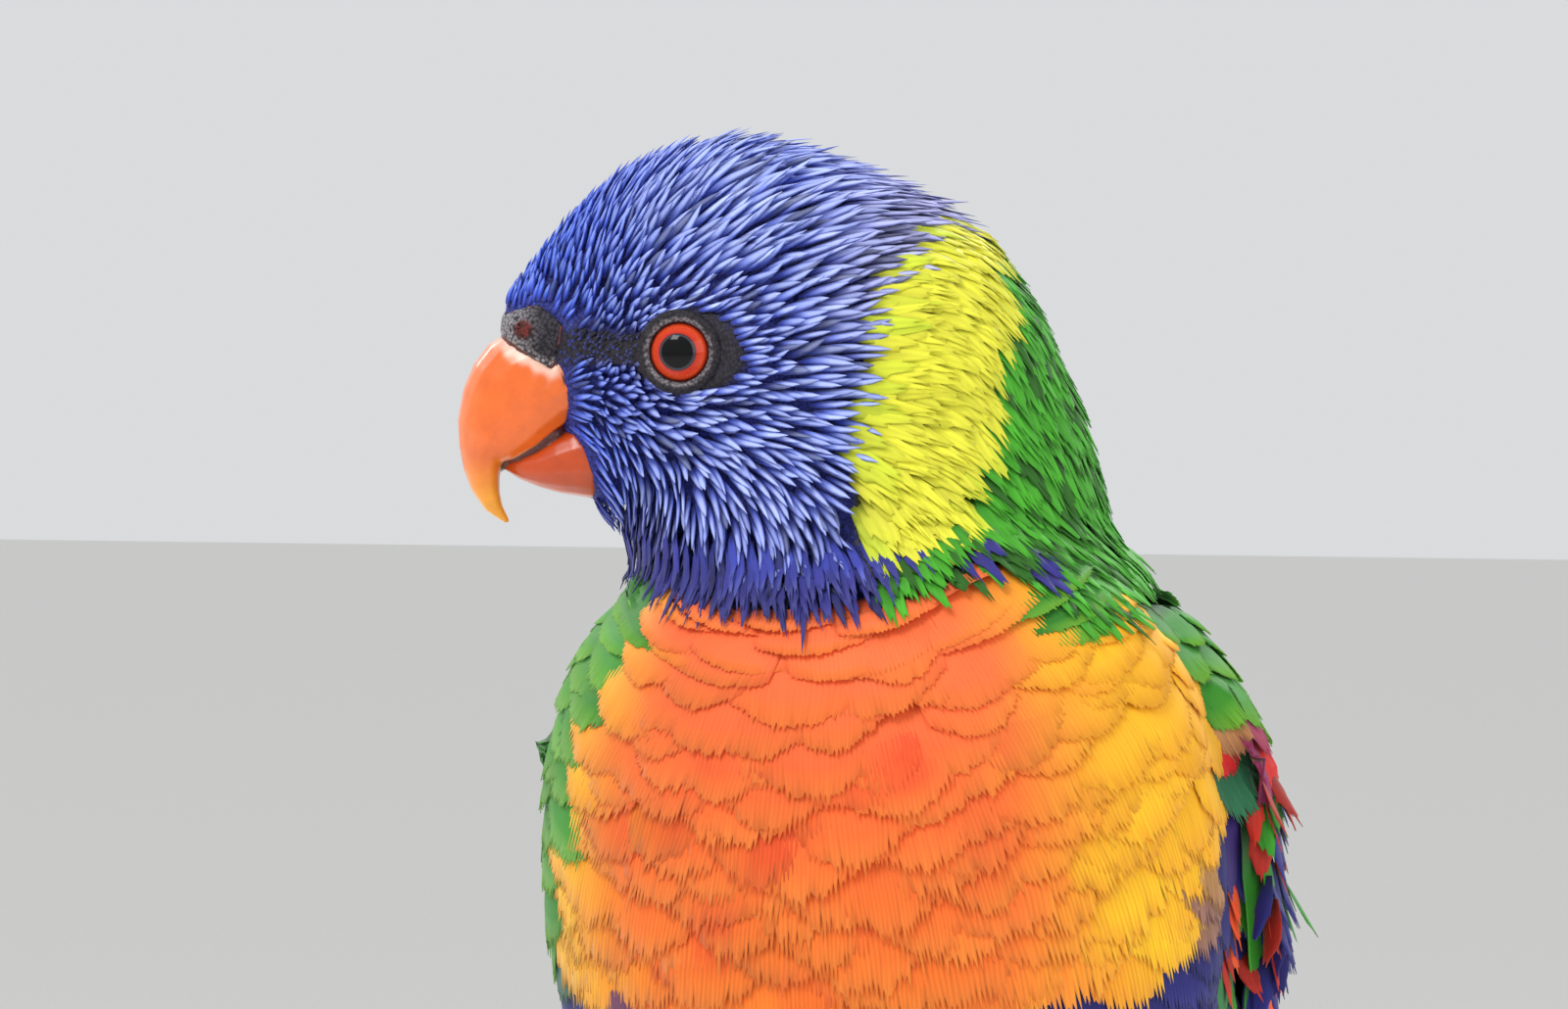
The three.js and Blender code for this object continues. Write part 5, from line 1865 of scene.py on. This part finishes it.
class LORIKEET_OT_stage(bpy.types.Operator):
    """Set the camera at the photograph's angle, the pale floor and the soft lights"""

    bl_idname = "lorikeet.stage"
    bl_label = "Stage"

    # Metres right of the bird, towards the camera and up, metres across, and watts
    LIGHTS = [
        ("key", (-0.55, 0.75, 1.0), 0.5, 9.5),
        ("fill", (0.9, 0.7, 0.35), 0.8, 3.5),
        ("rim", (0.5, -0.9, 0.8), 0.4, 8.0),
        ("back", (-0.7, -0.8, 0.6), 0.4, 5.0),
    ]

    def execute(self, context):
        right = np.array([math.cos(CAMERA_AZIMUTH), math.sin(CAMERA_AZIMUTH), 0.0])
        towards = np.array([math.sin(CAMERA_AZIMUTH), -math.cos(CAMERA_AZIMUTH), 0.0])
        target = (right * FRAME_MIDDLE_RIGHT + UP * FRAME_MIDDLE_UP) * MM
        self.camera(context.scene, target, towards)
        bpy.ops.object.select_all(action="DESELECT")
        bpy.ops.mesh.primitive_plane_add(size=12, location=(0, 0, 0))
        floor = bpy.context.object
        floor.name = "floor"
        floor.data.materials.append(pale_floor())
        for name, (across, near, up), wide, watts in self.LIGHTS:
            lamp = bpy.data.lights.new(name, "AREA")
            lamp.size = wide
            lamp.energy = watts
            light = bpy.data.objects.new(name, lamp)
            context.scene.collection.objects.link(light)
            light.location = Vector(target + right * across + towards * near + UP * up)
            aim(light, target)
        context.scene.view_settings.view_transform = "Standard"
        world = context.scene.world or bpy.data.worlds.new("studio")
        context.scene.world = world
        world.use_nodes = True
        sky = world.node_tree.nodes["Background"]
        sky.inputs["Color"].default_value = (*linear("#e6e8ea"), 1)
        sky.inputs["Strength"].default_value = SKY_STRENGTH
        return {"FINISHED"}

    def camera(self, scene, target, towards):
        """A long lens, so far off that the photograph's frame is as wide at the bird as it was."""
        distance = PIXELS_WIDE / PIXELS_PER_MM * MM * LENS_MM / SENSOR_MM
        away = towards * math.cos(CAMERA_RISE) + UP * math.sin(CAMERA_RISE)
        lens = bpy.data.cameras.new("camera")
        lens.lens = LENS_MM
        lens.sensor_width = SENSOR_MM
        lens.clip_start = 0.01
        lens.clip_end = 30
        camera = bpy.data.objects.new("camera", lens)
        scene.collection.objects.link(camera)
        camera.location = Vector(target + away * distance)
        aim(camera, target)
        scene.camera = camera


class LORIKEET_PT_panel(bpy.types.Panel):
    """The pieces of the lorikeet, in the order that they are made"""

    bl_idname = "LORIKEET_PT_panel"
    bl_label = "Lorikeet"
    bl_space_type = "VIEW_3D"
    bl_region_type = "UI"
    bl_category = "Lorikeet"

    def draw(self, context):
        for group in (context.scene.lorikeet_sizes, context.scene.lorikeet_colours):
            for name in group.bl_rna.properties.keys():
                if name not in ("rna_type", "name"):
                    self.layout.prop(group, name)
        for operator in OPERATORS:
            self.layout.operator(operator.bl_idname)


OPERATORS = [
    LORIKEET_OT_skin, LORIKEET_OT_hood, LORIKEET_OT_neck, LORIKEET_OT_body, LORIKEET_OT_thighs,
    LORIKEET_OT_wings, LORIKEET_OT_tail, LORIKEET_OT_bill, LORIKEET_OT_eyes, LORIKEET_OT_feet,
    LORIKEET_OT_perch, LORIKEET_OT_stand, LORIKEET_OT_stage,
]
CLASSES = [LorikeetColours, LorikeetSizes, *OPERATORS, LORIKEET_PT_panel]


def register():
    for item in CLASSES:
        bpy.utils.register_class(item)
    bpy.types.Scene.lorikeet_colours = bpy.props.PointerProperty(type=LorikeetColours)
    bpy.types.Scene.lorikeet_sizes = bpy.props.PointerProperty(type=LorikeetSizes)


def unregister():
    del bpy.types.Scene.lorikeet_sizes
    del bpy.types.Scene.lorikeet_colours
    for item in reversed(CLASSES):
        bpy.utils.unregister_class(item)


def main():
    register()
    bpy.ops.lorikeet.skin()
    bpy.ops.lorikeet.hood()
    bpy.ops.lorikeet.neck()
    bpy.ops.lorikeet.body()
    bpy.ops.lorikeet.thighs()
    bpy.ops.lorikeet.wings()
    bpy.ops.lorikeet.tail()
    bpy.ops.lorikeet.bill()
    bpy.ops.lorikeet.eyes()
    bpy.ops.lorikeet.feet()
    bpy.ops.lorikeet.perch()
    bpy.ops.lorikeet.stand()
    bpy.ops.lorikeet.stage()


if __name__ == "__main__":
    main()
